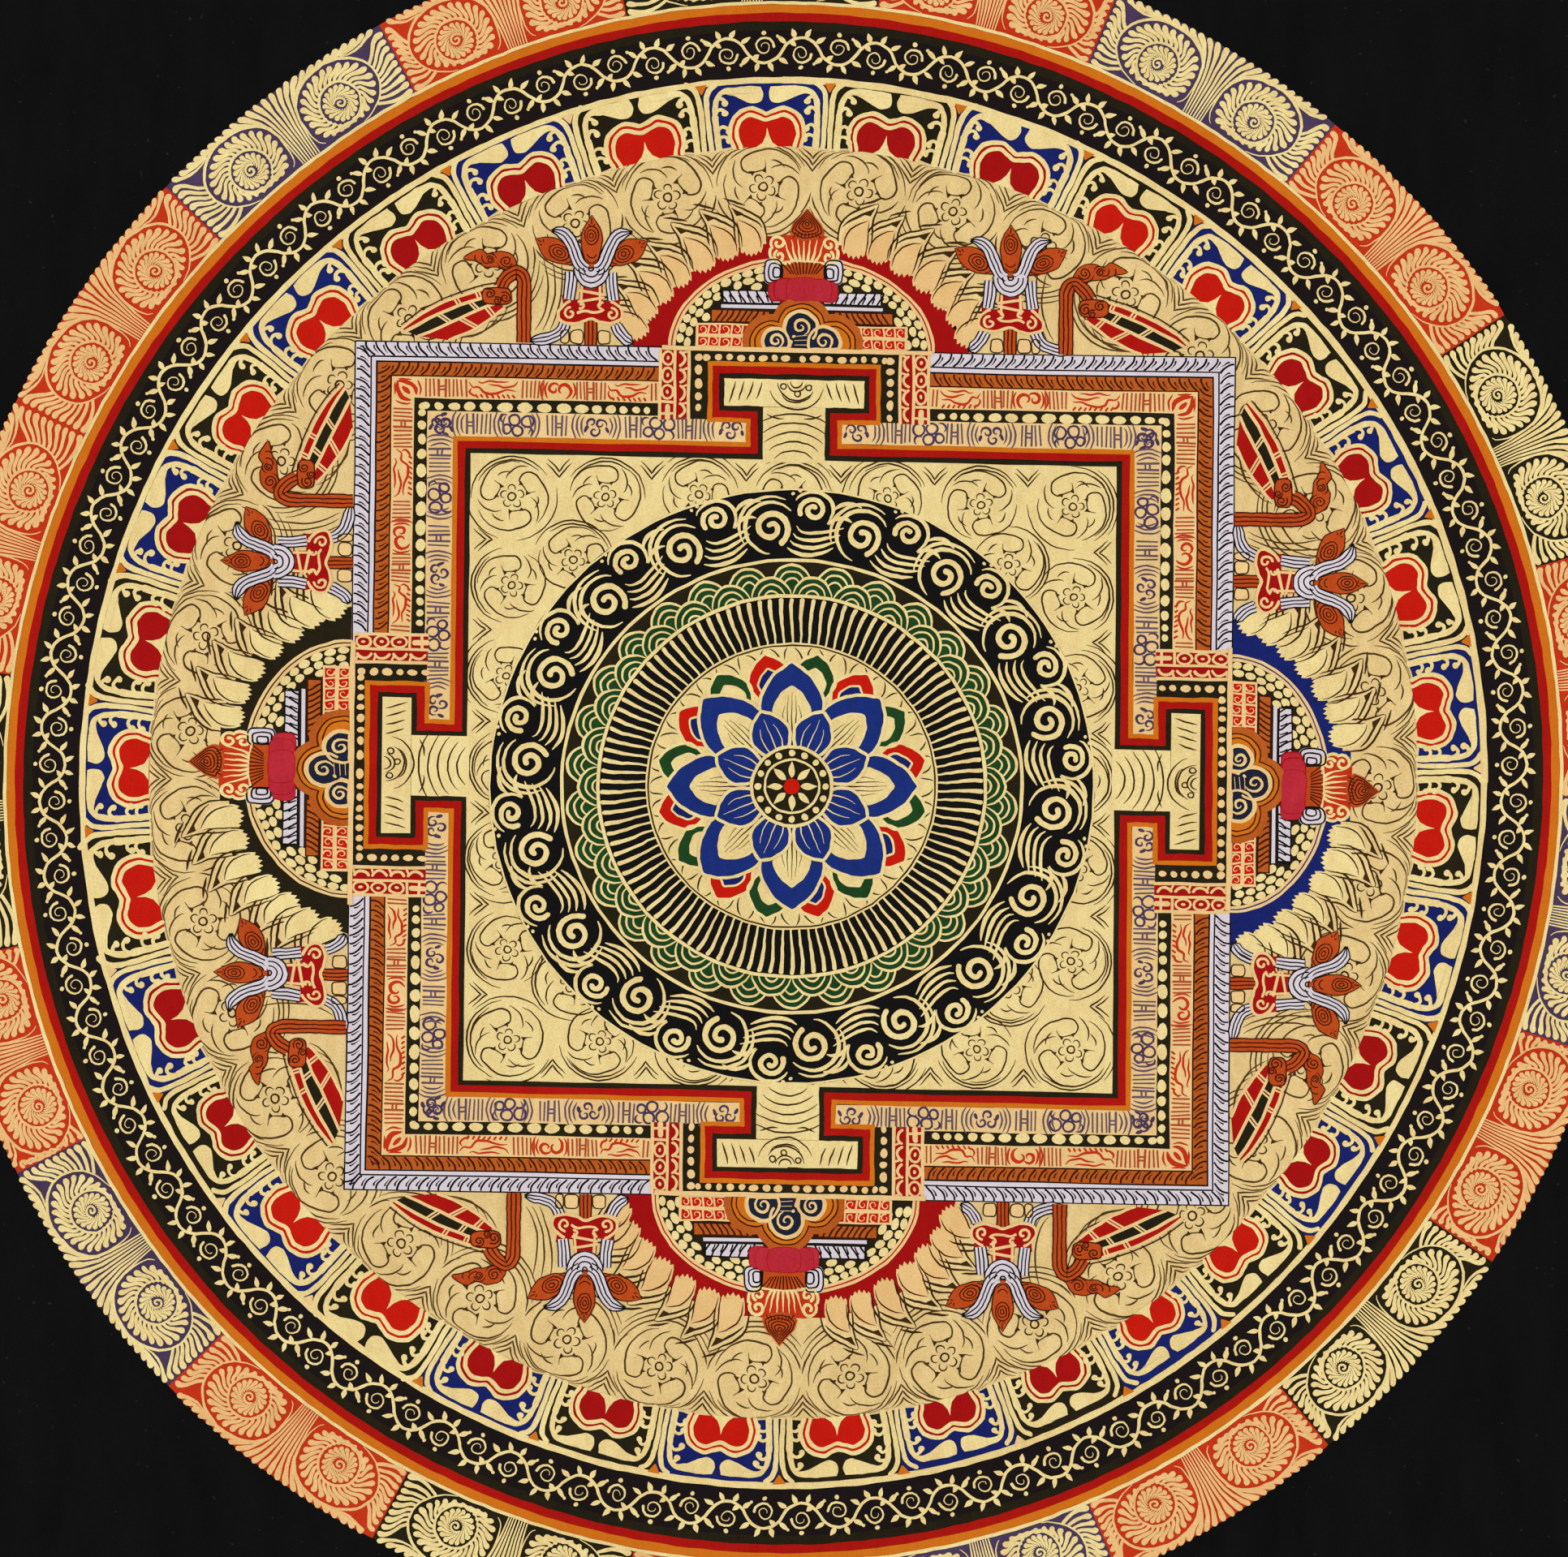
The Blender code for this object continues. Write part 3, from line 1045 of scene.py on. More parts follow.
def figures(run, middle, reach, bar_gap, ink, bar_ink):
    """Draws a run of figures along a gold band. bar_ink is for the plainer ones between the others."""
    low, high = middle - reach, middle + reach
    for figure, x, amount in run:
        if figure == "bars":
            upright_bars(bar_ink, x, low, high, amount, bar_gap)
        elif figure == "ladder":
            ladder(bar_ink, x, low, high)
        elif figure == "wave":
            wave_scroll(ink, x, middle, amount)
        elif figure == "swirl":
            red_swirl(ink, x, middle)
        elif figure == "bud":
            small_clover(ink, x, middle)
        elif figure == "circles":
            linked_circles(ink, x, middle)
        else:
            start, end = (144.0, 216.0) if figure == "back_brackets" else (-36.0, 36.0)
            nested_arcs(bar_ink, x, middle, 4.2, 3, 1.15, start, end, 0.55)


def corner_leaf(ink, middle):
    """Half of the leaf that fills a corner of the red band."""
    for points, width in (
        ([(101.8, middle - 2.0), (102.4, middle + 0.2), (104.4, middle + 1.4), (106.9, 106.9)], 2.1),
        ([(103.4, middle - 1.6), (104.6, middle - 0.6), (105.2, middle + 0.2)], 2.0),
        ([(101.0, middle - 2.1), (100.8, middle), (101.6, middle + 2.1)], 0.9),
        ([(103.0, middle + 2.2), (105.0, middle + 2.2), (106.6, middle + 2.3)], 0.9),
    ):
        ink.stroke(through(points, 4), FIGURE_LINE * width, OVER_LINE, tapered)


def bead_row(gold):
    """Oval beads along the black band, longest half way."""
    x = 39.0
    while x < 99.5:
        swell = math.sin(math.pi * (x - 37.0) / 64.0) ** 1.2
        long = (1.8 + 2.6 * swell) * random.uniform(0.85, 1.12)
        turn = random.uniform(-5.0, 5.0)
        gold.dab(x + long / 2.0, BEADS_MIDDLE, long, 1.8 + 0.9 * swell, turn, OVER_LINE, crown=2.0)
        x += long + random.uniform(0.75, 1.2)
    gold.dab(100.1, 100.1, 2.0, 2.0, 0.0, OVER_LINE, crown=1.6)


def border_path(offset):
    """Half of the field's outline round a gate, offset outwards from the gold."""
    o = offset
    return evenly([
        (0.0, BAR_HIGH + o), (BAR_HALF + o, BAR_HIGH + o), (BAR_HALF + o, BAR_LOW - o),
        (STEM_HALF + o, BAR_LOW - o), (STEM_HALF + o, FIELD_EDGE + o),
        (FIELD_EDGE + o, FIELD_EDGE + o),
    ], 8)


def gate_surround():
    """Half of the frame round a gate: the beaded black band and the two pilasters."""
    black, gold = coats("gates", "green_black", "pale_gold")
    black.area(oblong(0.0, PILASTER, 98.2, 117.4), OVER_LINE)
    x = 1.2
    while x < 24.0:
        long = random.uniform(1.8, 3.0) * (1.0 - 0.012 * x)
        gold.dab(x + long / 2.0, 115.1 + random.uniform(-0.1, 0.1), long, 1.9, 0.0, TOP, crown=2.0)
        x += long + random.uniform(0.8, 1.3)
    y = 113.0
    while y > 99.6:
        tall = random.uniform(1.8, 2.9)
        gold.dab(26.0, y - tall / 2.0, 2.2 - 0.05 * (113.0 - y), tall, 0.0, TOP, crown=2.0)
        y -= tall + 0.9
    gold.dab(26.0, 115.0, 2.3, 2.0, 0.0, TOP, crown=1.6)
    pilaster()


def pilaster():
    """The right pilaster of a gate: gold ovals and lines on red."""
    red, gold = coats("gates", "crimson", "pale_gold")
    red.area(oblong(PILASTER, GATE_HALF, 98.0, 117.0), OVER_LINE)
    for x, width in ((28.7, 0.9), (32.4, 0.75), (36.5, 0.85)):
        gold.stroke(line((x, 97.9), (x, 117.2)), width, TOP, crown=0.6, round_ends=False)
    for k in range(4):
        y = 114.6 - 4.6 * k
        if k < 3:
            gold.loop(circle(34.4, y, 1.55, 12, 1.9), 0.65, TOP, crown=0.4)
            gold.dab(34.4, y, 0.8, 1.2, 0.0, TOP)
        gold.stroke(arc(32.3, y - 0.2, 2.6, 120.0, 240.0, 7, 2.1), 0.75, TOP, crown=0.4)
        gold.stroke(line((29.2, y + 1.9), (30.3, y + 1.5)), 0.6, TOP)
    for y in (102.7, 99.6):
        gold.stroke(line((32.8, y), (36.2, y)), 0.7, TOP)
    gold.stroke(line((34.4, 98.2), (34.4, 101.6)), 1.4, TOP)


def t_panel():
    """The gold of a gate: its stem and bar, with part of a flower and arcs."""
    gold, ink = coats("gates", "gold", "line_ink")
    for half, low, high in ((STEM_HALF, 87.0, BAR_LOW), (BAR_HALF, BAR_LOW, BAR_HIGH)):
        gold.area(oblong(-half, half, low, high), TOP)
    arcs = ((1.6, 180.0, 360.0), (2.6, 190.0, 350.0), (5.2, 185.0, 330.0), (7.6, 200.0, 345.0))
    for reach, start, end in arcs:
        ink.stroke(arc(0.6, 108.9, reach, start, end, 14), INK_LINE, TOP_LINE, tapered)
    for x, y in ((-3.0, 107.6), (3.9, 107.2), (1.0, 105.6)):
        ink.loop(circle(x, y, 0.8, 9), 0.42, TOP_LINE)
    under = bend((-3.4, 105.2), (-2.4, 102.6), (2.6, 102.4), (4.6, 105.2), 8)
    ink.stroke(under, INK_LINE, TOP_LINE, tapered)
    for side in (-1.0, 1.0):
        for k in range(4):
            x = side * (8.8 + 2.4 * k)
            path = bend((x, 108.7), (x + 0.4 * side, 106.6), (x + 1.0 * side, 105.2),
                        (x + 1.6 * side, 104.0 - 0.3 * k), 6)
            ink.stroke(path, INK_LINE, TOP_LINE, tapered)
    for k in range(5):
        ripple = arc(0.0, 83.0, 7.2 + 2.5 * k, 44.0 + 2.5 * k, 136.0 - 2.5 * k, 12)
        ink.stroke(ripple, INK_LINE, TOP_LINE, tapered)
    for side in (-1.0, 1.0):
        path = bend((side * 7.4, 99.8), (side * 5.6, 98.8), (side * 4.2, 98.6), (side * 2.6, 98.8), 6)
        ink.stroke(path, INK_LINE, TOP_LINE, tapered)


# Flowers along one side of the field: middle, size, and where its outermost arcs may begin
FIELD_FLOWERS = (
    (-76.3, 75.8, 1.0, (20.0, 200.0)), (-51.0, 76.2, 0.97, ()), (-25.6, 77.4, 0.95, (20.0,)),
    (0.0, 76.6, 0.95, (20.0,)), (25.6, 77.4, 0.95, (20.0,)), (51.0, 76.2, 0.97, ()),
    (-59.5, 58.5, 0.98, ()),
)


def inner_field():
    """Flowers of the gold field inside the square, some half hidden by the roundel."""
    ink = coat("square", "line_ink")
    for _ in around(4):
        for x, y, size, free in FIELD_FLOWERS:
            with placed(moved(x, y)):
                turn = random.uniform(0.0, 90.0)
                swirl_flower(ink, ink, 0.88 * size, turn, random.random() < 0.5, OVER_LINE)
                for low in free:
                    start = low + random.uniform(0.0, 140.0)
                    ink.stroke(arc(0.0, 0.0, 12.3, start, start + 95.0, 12), 0.4, OVER_LINE, tapered)
        for x in (-63.6, -38.4, -12.8, 12.8, 38.4, 63.6):
            with placed(moved(x, 79.3)):
                chevrons(ink, 2.2, 2, 1.6, 3.4, OVER_LINE)


def half_side():
    """Half of one side of the square: its bands, half of its gate and the field's border."""
    bands()
    leaning_marks(coat("square", "black"), 113.8, 117.4, 38.5, 114.6, 2.4, 1.15)
    leaning_marks(coat("square", "rust_line"), 108.5, 111.9, 39.0, 110.0, -2.0, 1.0)
    vermilion, russet = coats("square", "vermilion", "russet")
    figures(RED_RUN, RED_MIDDLE, RED_REACH, 1.1, vermilion, russet)
    corner_leaf(vermilion, RED_MIDDLE)
    indigo, dusk = coats("square", "indigo", "dusk")
    figures(INDIGO_RUN, INDIGO_MIDDLE, INDIGO_REACH, 1.2, indigo, dusk)
    small_clover(indigo, 95.4, 95.2, 0.9)
    bead_row(coat("square", "gold"))
    gate_surround()
    for paint, near, far in BORDER:
        coat("square", paint).between(border_path(near), border_path(far), TOP)


def square():
    """The square with its four gates. The arches over them are drawn before it."""
    with placed(on_the_square):
        gold = coat("square", "gold")
        side = evenly([(-FIELD_EDGE, -FIELD_EDGE), (FIELD_EDGE, -FIELD_EDGE)], 12)
        gold.between(side, side * (1.0, -1.0), OVER)
        for _ in around(4):
            for _ in both_sides():
                half_side()
            t_panel()
        inner_field()


# ---------------- the arches over the gates
# Each gate's arch, from the top gate clockwise: the ground behind it, how far it stands to the side
# and outwards, how tall it is next to the usual, and how far the finials on its right and left are
# from the middle of the side
ARCHES = (
    {"ground": "crimson", "aside": 1.0, "outward": 0.0, "tall": 1.0, "finials": (58.5, 55.4)},
    {"ground": "blue", "aside": -0.5, "outward": -0.4, "tall": 1.03, "finials": (56.3, 56.3)},
    {"ground": "crimson", "aside": -0.5, "outward": -0.3, "tall": 1.06, "finials": (54.3, 58.3)},
    {"ground": "green_black", "aside": -2.2, "outward": 0.0, "tall": 1.12, "finials": (56.3, 59.0)},
)
ARCH_X, ARCH_FOOT = 0.9, 117.7
ARCH_HALF, ARCH_TALL = 36.2, 25.9
# The leaves round an arch: where each one's serrated foot is, and how far its tip leans outwards
ARCH_LEAVES = (
    (43.4, 120.2, 30.0), (41.0, 125.4, 27.0), (37.0, 130.2, 25.0), (32.2, 134.9, 22.0),
    (26.2, 139.2, 18.0), (20.0, 142.4, 12.0), (13.6, 143.8, 6.0),
)
ARCH_LEAF_OUTLINE = (
    (3.1, 0.9), (2.6, 0.2), (2.1, 0.8), (1.6, -0.5), (0.9, 0.3), (0.3, -0.8),
    (-0.4, 0.2), (-1.0, -0.6), (-1.7, 0.6), (-2.3, 0.1), (-2.9, 1.4), (-3.2, 3.8),
    (-2.7, 6.2), (-1.2, 7.9), (0.8, 8.8), (3.4, 9.8), (3.0, 7.4), (3.4, 4.6),
)
ARCH_BLADE = (
    (-3.9, 2.4), (-4.2, 5.6), (-3.5, 8.4), (-1.6, 10.6), (1.4, 12.4),
    (4.8, 14.0), (4.6, 11.6), (4.1, 9.0), (4.3, 6.0), (4.1, 2.6),
)


def arch_frame(place):
    """The frame of one gate's arch."""
    def mapping(points):
        high = (points[:, 1] - ARCH_FOOT) * place["tall"]
        return np.stack([points[:, 0] + place["aside"], ARCH_FOOT + place["outward"] + high], axis=1)
    return mapping


def arch_curve(grow):
    """The arch's outline, or a line outside it."""
    return arc(ARCH_X, ARCH_FOOT, ARCH_HALF + grow, 0.0, 180.0, 40, ARCH_TALL + grow)


def arch_leaf(paint, edge):
    """An acanthus leaf: a serrated foot towards the arch, before a dark-lined blade that points out."""
    gold, ink = coats("gates", "old_gold", "line_ink")
    blade = through(ARCH_BLADE, 3)
    gold.area(blade, LINE)
    ink.stroke(blade[:16], 0.55, OVER, tapered)
    ink.stroke(blade[15:], 0.5, OVER, tapered)
    ink.stroke(bend((-3.2, 7.0), (-1.6, 9.4), (1.6, 10.6), (4.3, 12.8), 8), 0.62, OVER, tapered)
    ink.area([(1.6, 10.7), (3.4, 10.5), (4.2, 12.6)], OVER)
    ink.stroke(bend((0.8, 13.2), (2.8, 14.2), (4.4, 15.0), (6.2, 15.6), 6), 0.6, OVER, tapered)
    coat("gates", paint).area(ARCH_LEAF_OUTLINE, OVER)
    line_paint = coat("gates", edge)
    line_paint.stroke(bend((2.8, 9.3), (-1.4, 7.9), (-3.0, 5.0), (-2.4, 1.4), 7), 0.4, OVER_LINE, tapered)
    line_paint.stroke(bend((3.2, 9.0), (2.9, 6.4), (3.6, 4.0), (3.1, 1.0), 6), 0.36, OVER_LINE, tapered)


def arch_ground(paint):
    """The coloured ground behind the arch, and the leaves that bound it."""
    reach = [(46.0, 117.7), (44.0, 124.0), (41.0, 132.0), (34.0, 140.0), (24.0, 146.0), (12.0, 149.0)]
    right = through([(x + 0.4, y) for x, y in reach], 3)
    left = [(-x + 1.2, y) for x, y in right[::-1]]
    coat("gates", paint).area(np.concatenate([right, left]), LINE)
    leaf, edge = ("peach", "rust_line") if paint == "crimson" else ("gold", "line_ink")
    for _ in both_sides(ARCH_X):
        for x, y, tip in ARCH_LEAVES:
            with placed(moved(x, y, -tip, random.uniform(0.98, 1.1))):
                arch_leaf(leaf, edge)


# What the pebbles keep clear of: how far each reaches from the arch's middle and above its foot
PEBBLE_LIMITS = ((21.8, 15.9), (24.9, 10.4), (28.4, 6.6), (9.6, 30.0), (40.0, 0.4))
PEBBLE_SHOWS = 0.3  # how far from them the middle of a pebble is that still shows
PEBBLE_ROW = 2.15  # from one row of pebbles to the next
BARS, BAR_LINES = 7.0, 7.6  # levels, over the pebbles


def room_for_pebble(x, y):
    """How far that place is from the bars, the cushion, the drum and the foot."""
    return min(math.hypot(max(x - far, 0.0), max(y - high, 0.0)) for far, high in PEBBLE_LIMITS)


def pebbles():
    """The gold pebbles inside the arch's rim; some run on a little under the bars."""
    gold = coat("gates", "gold")
    for row in range(8):
        wide, tall = 33.3 - PEBBLE_ROW * row, 23.1 - PEBBLE_ROW * row
        angle = 1.0 + 2.0 * (row % 2)
        while angle < 180.0:
            long = random.uniform(2.4, 3.3)
            pace = math.hypot(wide * math.sin(math.radians(angle)), tall * math.cos(math.radians(angle)))
            step = math.degrees((long + 0.3) / pace)
            middle = math.radians(angle + step / 2.0)
            x, y = wide * math.cos(middle), tall * math.sin(middle)
            angle += step
            if room_for_pebble(abs(x), y) < PEBBLE_SHOWS:
                continue
            turn = math.degrees(math.atan2(tall * math.cos(middle), -wide * math.sin(middle)))
            turn += random.uniform(-10.0, 10.0)
            across = random.uniform(1.9, 2.15)
            gold.dab(ARCH_X + x, ARCH_FOOT + y, long, across, turn, OVER + 0.5, crown=0.9)


def arch_bars():
    """The hatched bars and scrolled panels at one side of the arch's trefoil."""
    coat("gates", "lavender").area(oblong(6.0, 21.6, 130.2, 133.6), BARS)
    coat("gates", "lavender").area(oblong(6.0, 22.0, 128.7, 129.6), BARS)
    coat("gates", "rust").area(oblong(9.0, 24.8, 124.9, 128.1), BARS)
    arch_hatching(coat("gates", "black"), 130.2, 133.6, 8.0, 21.0, 2.0)
    arch_hatching(coat("gates", "rust_line"), 124.9, 128.1, 10.4, 24.2, -1.9)
    coat("gates", "scarlet").area(oblong(12.0, 28.2, 117.9, 124.3), BARS)
    gold = coat("gates", "pale_gold")
    for low, high in ((121.3, 124.2), (118.0, 120.8)):
        for y in (low, high):
            gold.stroke(line((13.0, y), (28.2, y)), 0.5, BAR_LINES)
        for k in range(5):
            x = 14.6 + 3.1 * k
            turn = 1.0 if k % 2 else -1.0
            scroll = spiral(x, (low + high) / 2.0, 1.25, 0.3, 90.0 * turn, 0.95 * turn, 10)
            gold.stroke(scroll, 0.55, BAR_LINES, fading)
            gold.stroke(line((x + 1.6, low + 0.3), (x + 1.3, high - 0.3)), 0.5, BAR_LINES)
    gold.stroke(line((28.4, 117.9), (28.4, 124.3)), 0.7, BAR_LINES)


def arch_hatching(ink, low, high, start, end, lean):
    """A bar's outline and the leaning marks across it, with a short one beside each that leans right."""
    x = start
    tall = high - low
    while x < end:
        mark = bend((x, low), (x + 0.2 * lean, low + 0.3 * tall), (x + 0.9 * lean, low + 0.6 * tall),
                    (x + lean, high), 5)
        ink.stroke(mark, 0.5, BAR_LINES, round_ends=False)
        if lean > 0.0:
            short = bend((x + 1.2, low + 0.4), (x + 1.3, low + 1.1), (x + 1.7, low + 1.5),
                         (x + 1.9, low + 2.1), 4)
            ink.stroke(short, 0.4, BAR_LINES)
        x += 2.45 if lean > 0.0 else 1.65
    for y in (high, low):
        ink.stroke(line((start - 2.0, y), (end + 0.6, y)), 0.35, BAR_LINES)
    ink.stroke(line((end + 0.5, low), (end + 0.5, high)), 0.35, BAR_LINES)


# The trefoil's lobes, and the round eyes inside it: middle and radius
TREFOIL_LOBES = ((0.8, 123.9, 8.4), (-7.2, 119.4, 8.0), (9.3, 119.4, 8.2))
TREFOIL_EYES = ((0.6, 123.6, 4.6), (-6.1, 119.6, 3.7), (6.9, 119.6, 4.5))
TREFOIL_LEVEL = 9.0
# Bands from the trefoil's edge inwards: paint and inset
TREFOIL_BANDS = (("rust", 0.0), ("rust_line", 1.8), ("orange", 2.2), ("rust_line", 3.1), ("orange", 3.5))


def above_foot(points):
    """The points, with those under the arch's foot brought up to it."""
    return np.column_stack([points[:, 0], np.maximum(points[:, 1], ARCH_FOOT + 0.2)])


def trefoil():
    """The three-lobed window over a gate, with plain spirals in its eyes."""
    for number, (paint, inset) in enumerate(TREFOIL_BANDS):
        for x, y, radius in TREFOIL_LOBES:
            lobe = above_foot(circle(x, y, radius - inset, 36))
            coat("gates", paint).area(lobe, TREFOIL_LEVEL + number * 0.5)
    gold, night = coats("gates", "pale_gold", "night")
    ring, eye, mark = TREFOIL_LEVEL + 2.6, TREFOIL_LEVEL + 3.2, TREFOIL_LEVEL + 3.8
    for x, y, radius in TREFOIL_EYES:
        gold.area(above_foot(circle(x, y, radius + 0.5, 28)), ring)
    night.area([(-2.0, 118.0), (3.4, 118.0), (2.6, 121.4), (-1.2, 121.4)], eye)
    for x, y, radius in TREFOIL_EYES:
        night.area(above_foot(circle(x, y, radius - 0.35, 28)), eye)
        start, end = (-40.0, 220.0) if y > 122.0 else (0.0, 360.0)
        rim = above_foot(arc(x, y, radius - 0.2, start, end, 28))
        gold.stroke(rim, 0.7, mark - 0.1, crown=0.4)
        gold.stroke(spiral(x, y + 0.4, radius * 0.56, 0.4, -70.0, 1.4, 18), 0.8, mark, tapered, crown=0.4)
        gold.dab(x - radius * 0.4, y - radius * 0.5, 1.1, 0.8, 30.0, mark)
    for k in range(3):
        gold.stroke(line((-1.0, 118.7 + 1.3 * k), (2.3, 118.9 + 1.3 * k)), 0.65, mark, tapered, crown=0.4)


def rounded(x, y, wide, tall):
    """A box with round corners."""
    angles = np.radians(np.arange(0.0, 360.0, 15.0))
    c, s = np.cos(angles), np.sin(angles)
    return np.stack([x + 0.5 * wide * np.sign(c) * np.abs(c) ** 0.6,
                     y + 0.5 * tall * np.sign(s) * np.abs(s) ** 0.6], axis=1)


# The cushion's lobes, the hindmost first: middle, width and height
CUSHION = (
    (-5.6, 133.6, 5.4, 5.6), (7.8, 133.6, 5.4, 5.6), (-3.0, 134.1, 7.4, 6.2),
    (5.2, 134.1, 7.4, 6.2), (1.1, 134.2, 9.0, 6.5),
)


def cushion_and_drum():
    """The rose cushion and the fluted rust drum over the trefoil."""
    rose, rust, rust_ink = coats("gates", "rose", "ember", "rust_line")
    crimson = coat("gates", "crimson")
    for side in (-1.0, 1.0):
        x = 1.2 + side * 8.2
        coat("gates", "lavender").area(rounded(x, 139.2, 5.4, 7.2), BARS)
        for k in range(3):
            shape = rounded(x - 0.5 * side * k, 139.2 - 0.2 * k, 4.9 - 1.5 * k, 6.6 - 1.9 * k)
            coat("gates", "black").loop(shape, 0.46, BAR_LINES)
    rust.area(rounded(1.2, 139.2, 12.6, 5.4), TOP + 0.5)
    for k in range(11):
        x = -4.4 + 1.12 * k
        flute = line((x * 0.6 + 0.5, 138.6), (x, 141.8 - 0.02 * (x - 1.2) ** 2))
        rust_ink.stroke(flute, 0.36, TOP + 1.1)
    nested_arcs(rust_ink, 1.2, 138.9, 0.9, 3, 0.8, 0.0, 180.0, 0.42)
    for number, lobe in enumerate(CUSHION):
        rose.area(rounded(*lobe), TOP + 1.2 + 0.25 * number)
        crimson.loop(rounded(*lobe), 0.34, TOP + 1.0 + 0.25 * number)


def plume_and_jewel():
    """Gold plumes on red over the drum, and the pointed jewel at the top."""
    red, gold = coats("gates", "vermilion", "gold")
    ground = through([(-4.0, -0.6), (-7.4, -0.8), (-9.0, 1.4), (-8.8, 5.0), (-6.8, 7.2), (-3.0, 7.4)], 3)
    with placed(moved(1.3, 141.9)):
        red.area(mirrored(ground), OVER_LINE)
        gold.stroke(line((0.0, 0.0), (0.0, 6.2), step=2.0), 0.85, TOP, fading, crown=0.4)
        for _ in both_sides():
            plume_half(gold)
    jewel()


def plume_half(gold):
    """The right half of the plumes: strands that fan out, and two curls on the red behind."""
    for k in range(3):
        foot, tip = 0.9 + 0.9 * k, 1.7 + 1.75 * k
        strand = bend((foot, -0.2), (foot * 1.7, 1.8), (tip * 0.85, 3.6), (tip, 6.6 - 0.5 * k), 8)
        gold.stroke(strand, 0.9, TOP, fading, crown=0.4)
    gold.stroke(bend((3.4, -0.3), (7.6, -1.2), (10.0, 0.4), (9.2, 3.4), 9), 0.85, TOP, crown=0.4)
    gold.stroke(spiral(6.9, 5.0, 2.3, 0.5, -35.0, 1.2, 16), 0.85, TOP, crown=0.4)
    gold.stroke(spiral(6.6, 1.5, 1.7, 0.5, 60.0, -1.1, 12), 0.8, TOP, crown=0.4)


def jewel():
    """The jewel at an arch's top: its outline again and again, smaller, round a round heart."""
    rust, rust_ink = coats("gates", "ember", "rust_line")
    foot = [(-2.8, 149.8), (-0.6, 148.3), (2.0, 147.8), (4.8, 148.4), (6.9, 149.8), (6.0, 152.4),
            (4.0, 154.6)]
    outline = np.concatenate([through(foot, 4), [(2.1, 156.8), (0.2, 154.6), (-1.8, 152.4)]])
    level = TOP_LINE + 0.2
    rust.area(outline, TOP + 0.6)
    rust_ink.loop(circle(2.1, 152.4, 0.5, 10), 0.34, level)
    heart = np.array([2.1, 152.6])
    for share in (0.29, 0.47, 0.65, 0.83):
        rust_ink.loop(heart + (outline - heart) * share, 0.34, level)
    for k in range(8):
        x = -1.6 + 1.05 * k
        tick = line((x, 149.0 - 0.03 * (x - 2.0) ** 2), (x * 0.8 + 0.4, 149.9))
        rust_ink.stroke(tick, 0.3, level)


def arch(ground):
    """The arch over a gate."""
    arch_ground(ground)
    coat("gates", "green_black").area(arch_curve(-1.3), OVER)
    gold = coat("gates", "pale_gold")
    gold.stroke(arch_curve(-0.4), 0.85, OVER, crown=1.0)
    coat("gates", "red" if ground == "crimson" else ground).stroke(arch_curve(-0.95), 0.42, OVER + 0.5)
    gold.stroke(arch_curve(-1.5), 0.8, OVER + 0.5, crown=1.0)
    pebbles()
    for _ in both_sides(ARCH_X):
        arch_bars()
    cushion_and_drum()
    trefoil()
    plume_and_jewel()
    beam = line((-37.0, 117.35), (36.4, 117.35))
    gold.stroke(beam, 1.15, TREFOIL_LEVEL + 4.5, crown=0.8, round_ends=False)


# ---------------- finials and banners between the gates
BANNER_X = 73.6  # from the middle of a side
ORNAMENT_FOOT = 117.8  # where finials and banners stand, from the square's middle
SKIRT = (
    (-3.8, 12.2), (-6.2, 11.6), (-8.4, 9.6), (-8.2, 7.2), (-5.2, 5.9), (-2.2, 6.4), (0.0, 7.2),
    (2.2, 6.3), (5.6, 5.6), (8.6, 6.6), (8.8, 9.0), (6.6, 11.4), (4.0, 12.4),
)
PLUME = (
    (1.4, 20.6), (3.4, 24.2), (7.0, 25.2), (10.0, 24.4), (12.4, 25.6),
    (16.4, 23.0), (13.0, 22.2), (10.4, 20.8), (7.0, 20.6), (4.0, 19.0),
)


def ribbon(points, width, fill, ink, level, shape=even):
    """A flat band with dark edges and two lines along it."""
    coat("finials", fill).stroke(points, width, level, shape, round_ends=False)
    along = distances(points)
    across = leftward(headings(points)) * (shape(along / along[-1])[:, None] * width)
    for k in range(4):
        edge = points + across * (k / 3.0 - 0.5)
        coat("finials", ink).stroke(edge, 0.38, level + 0.5, round_ends=False)


def scarf_half():
    """The right half of the finial's scarf."""
    ribbon(line((6.1, 12.4), (5.6, 16.0), (5.4, 20.0), step=2.0), 3.1, "lavender", "black", TOP)
    tail = bend((1.2, 20.6), (5.6, 21.6), (3.4, 31.6), (11.0, 31.2), 14)
    ribbon(tail, 3.3, "lavender", "black", TOP + 1.0, narrowing)


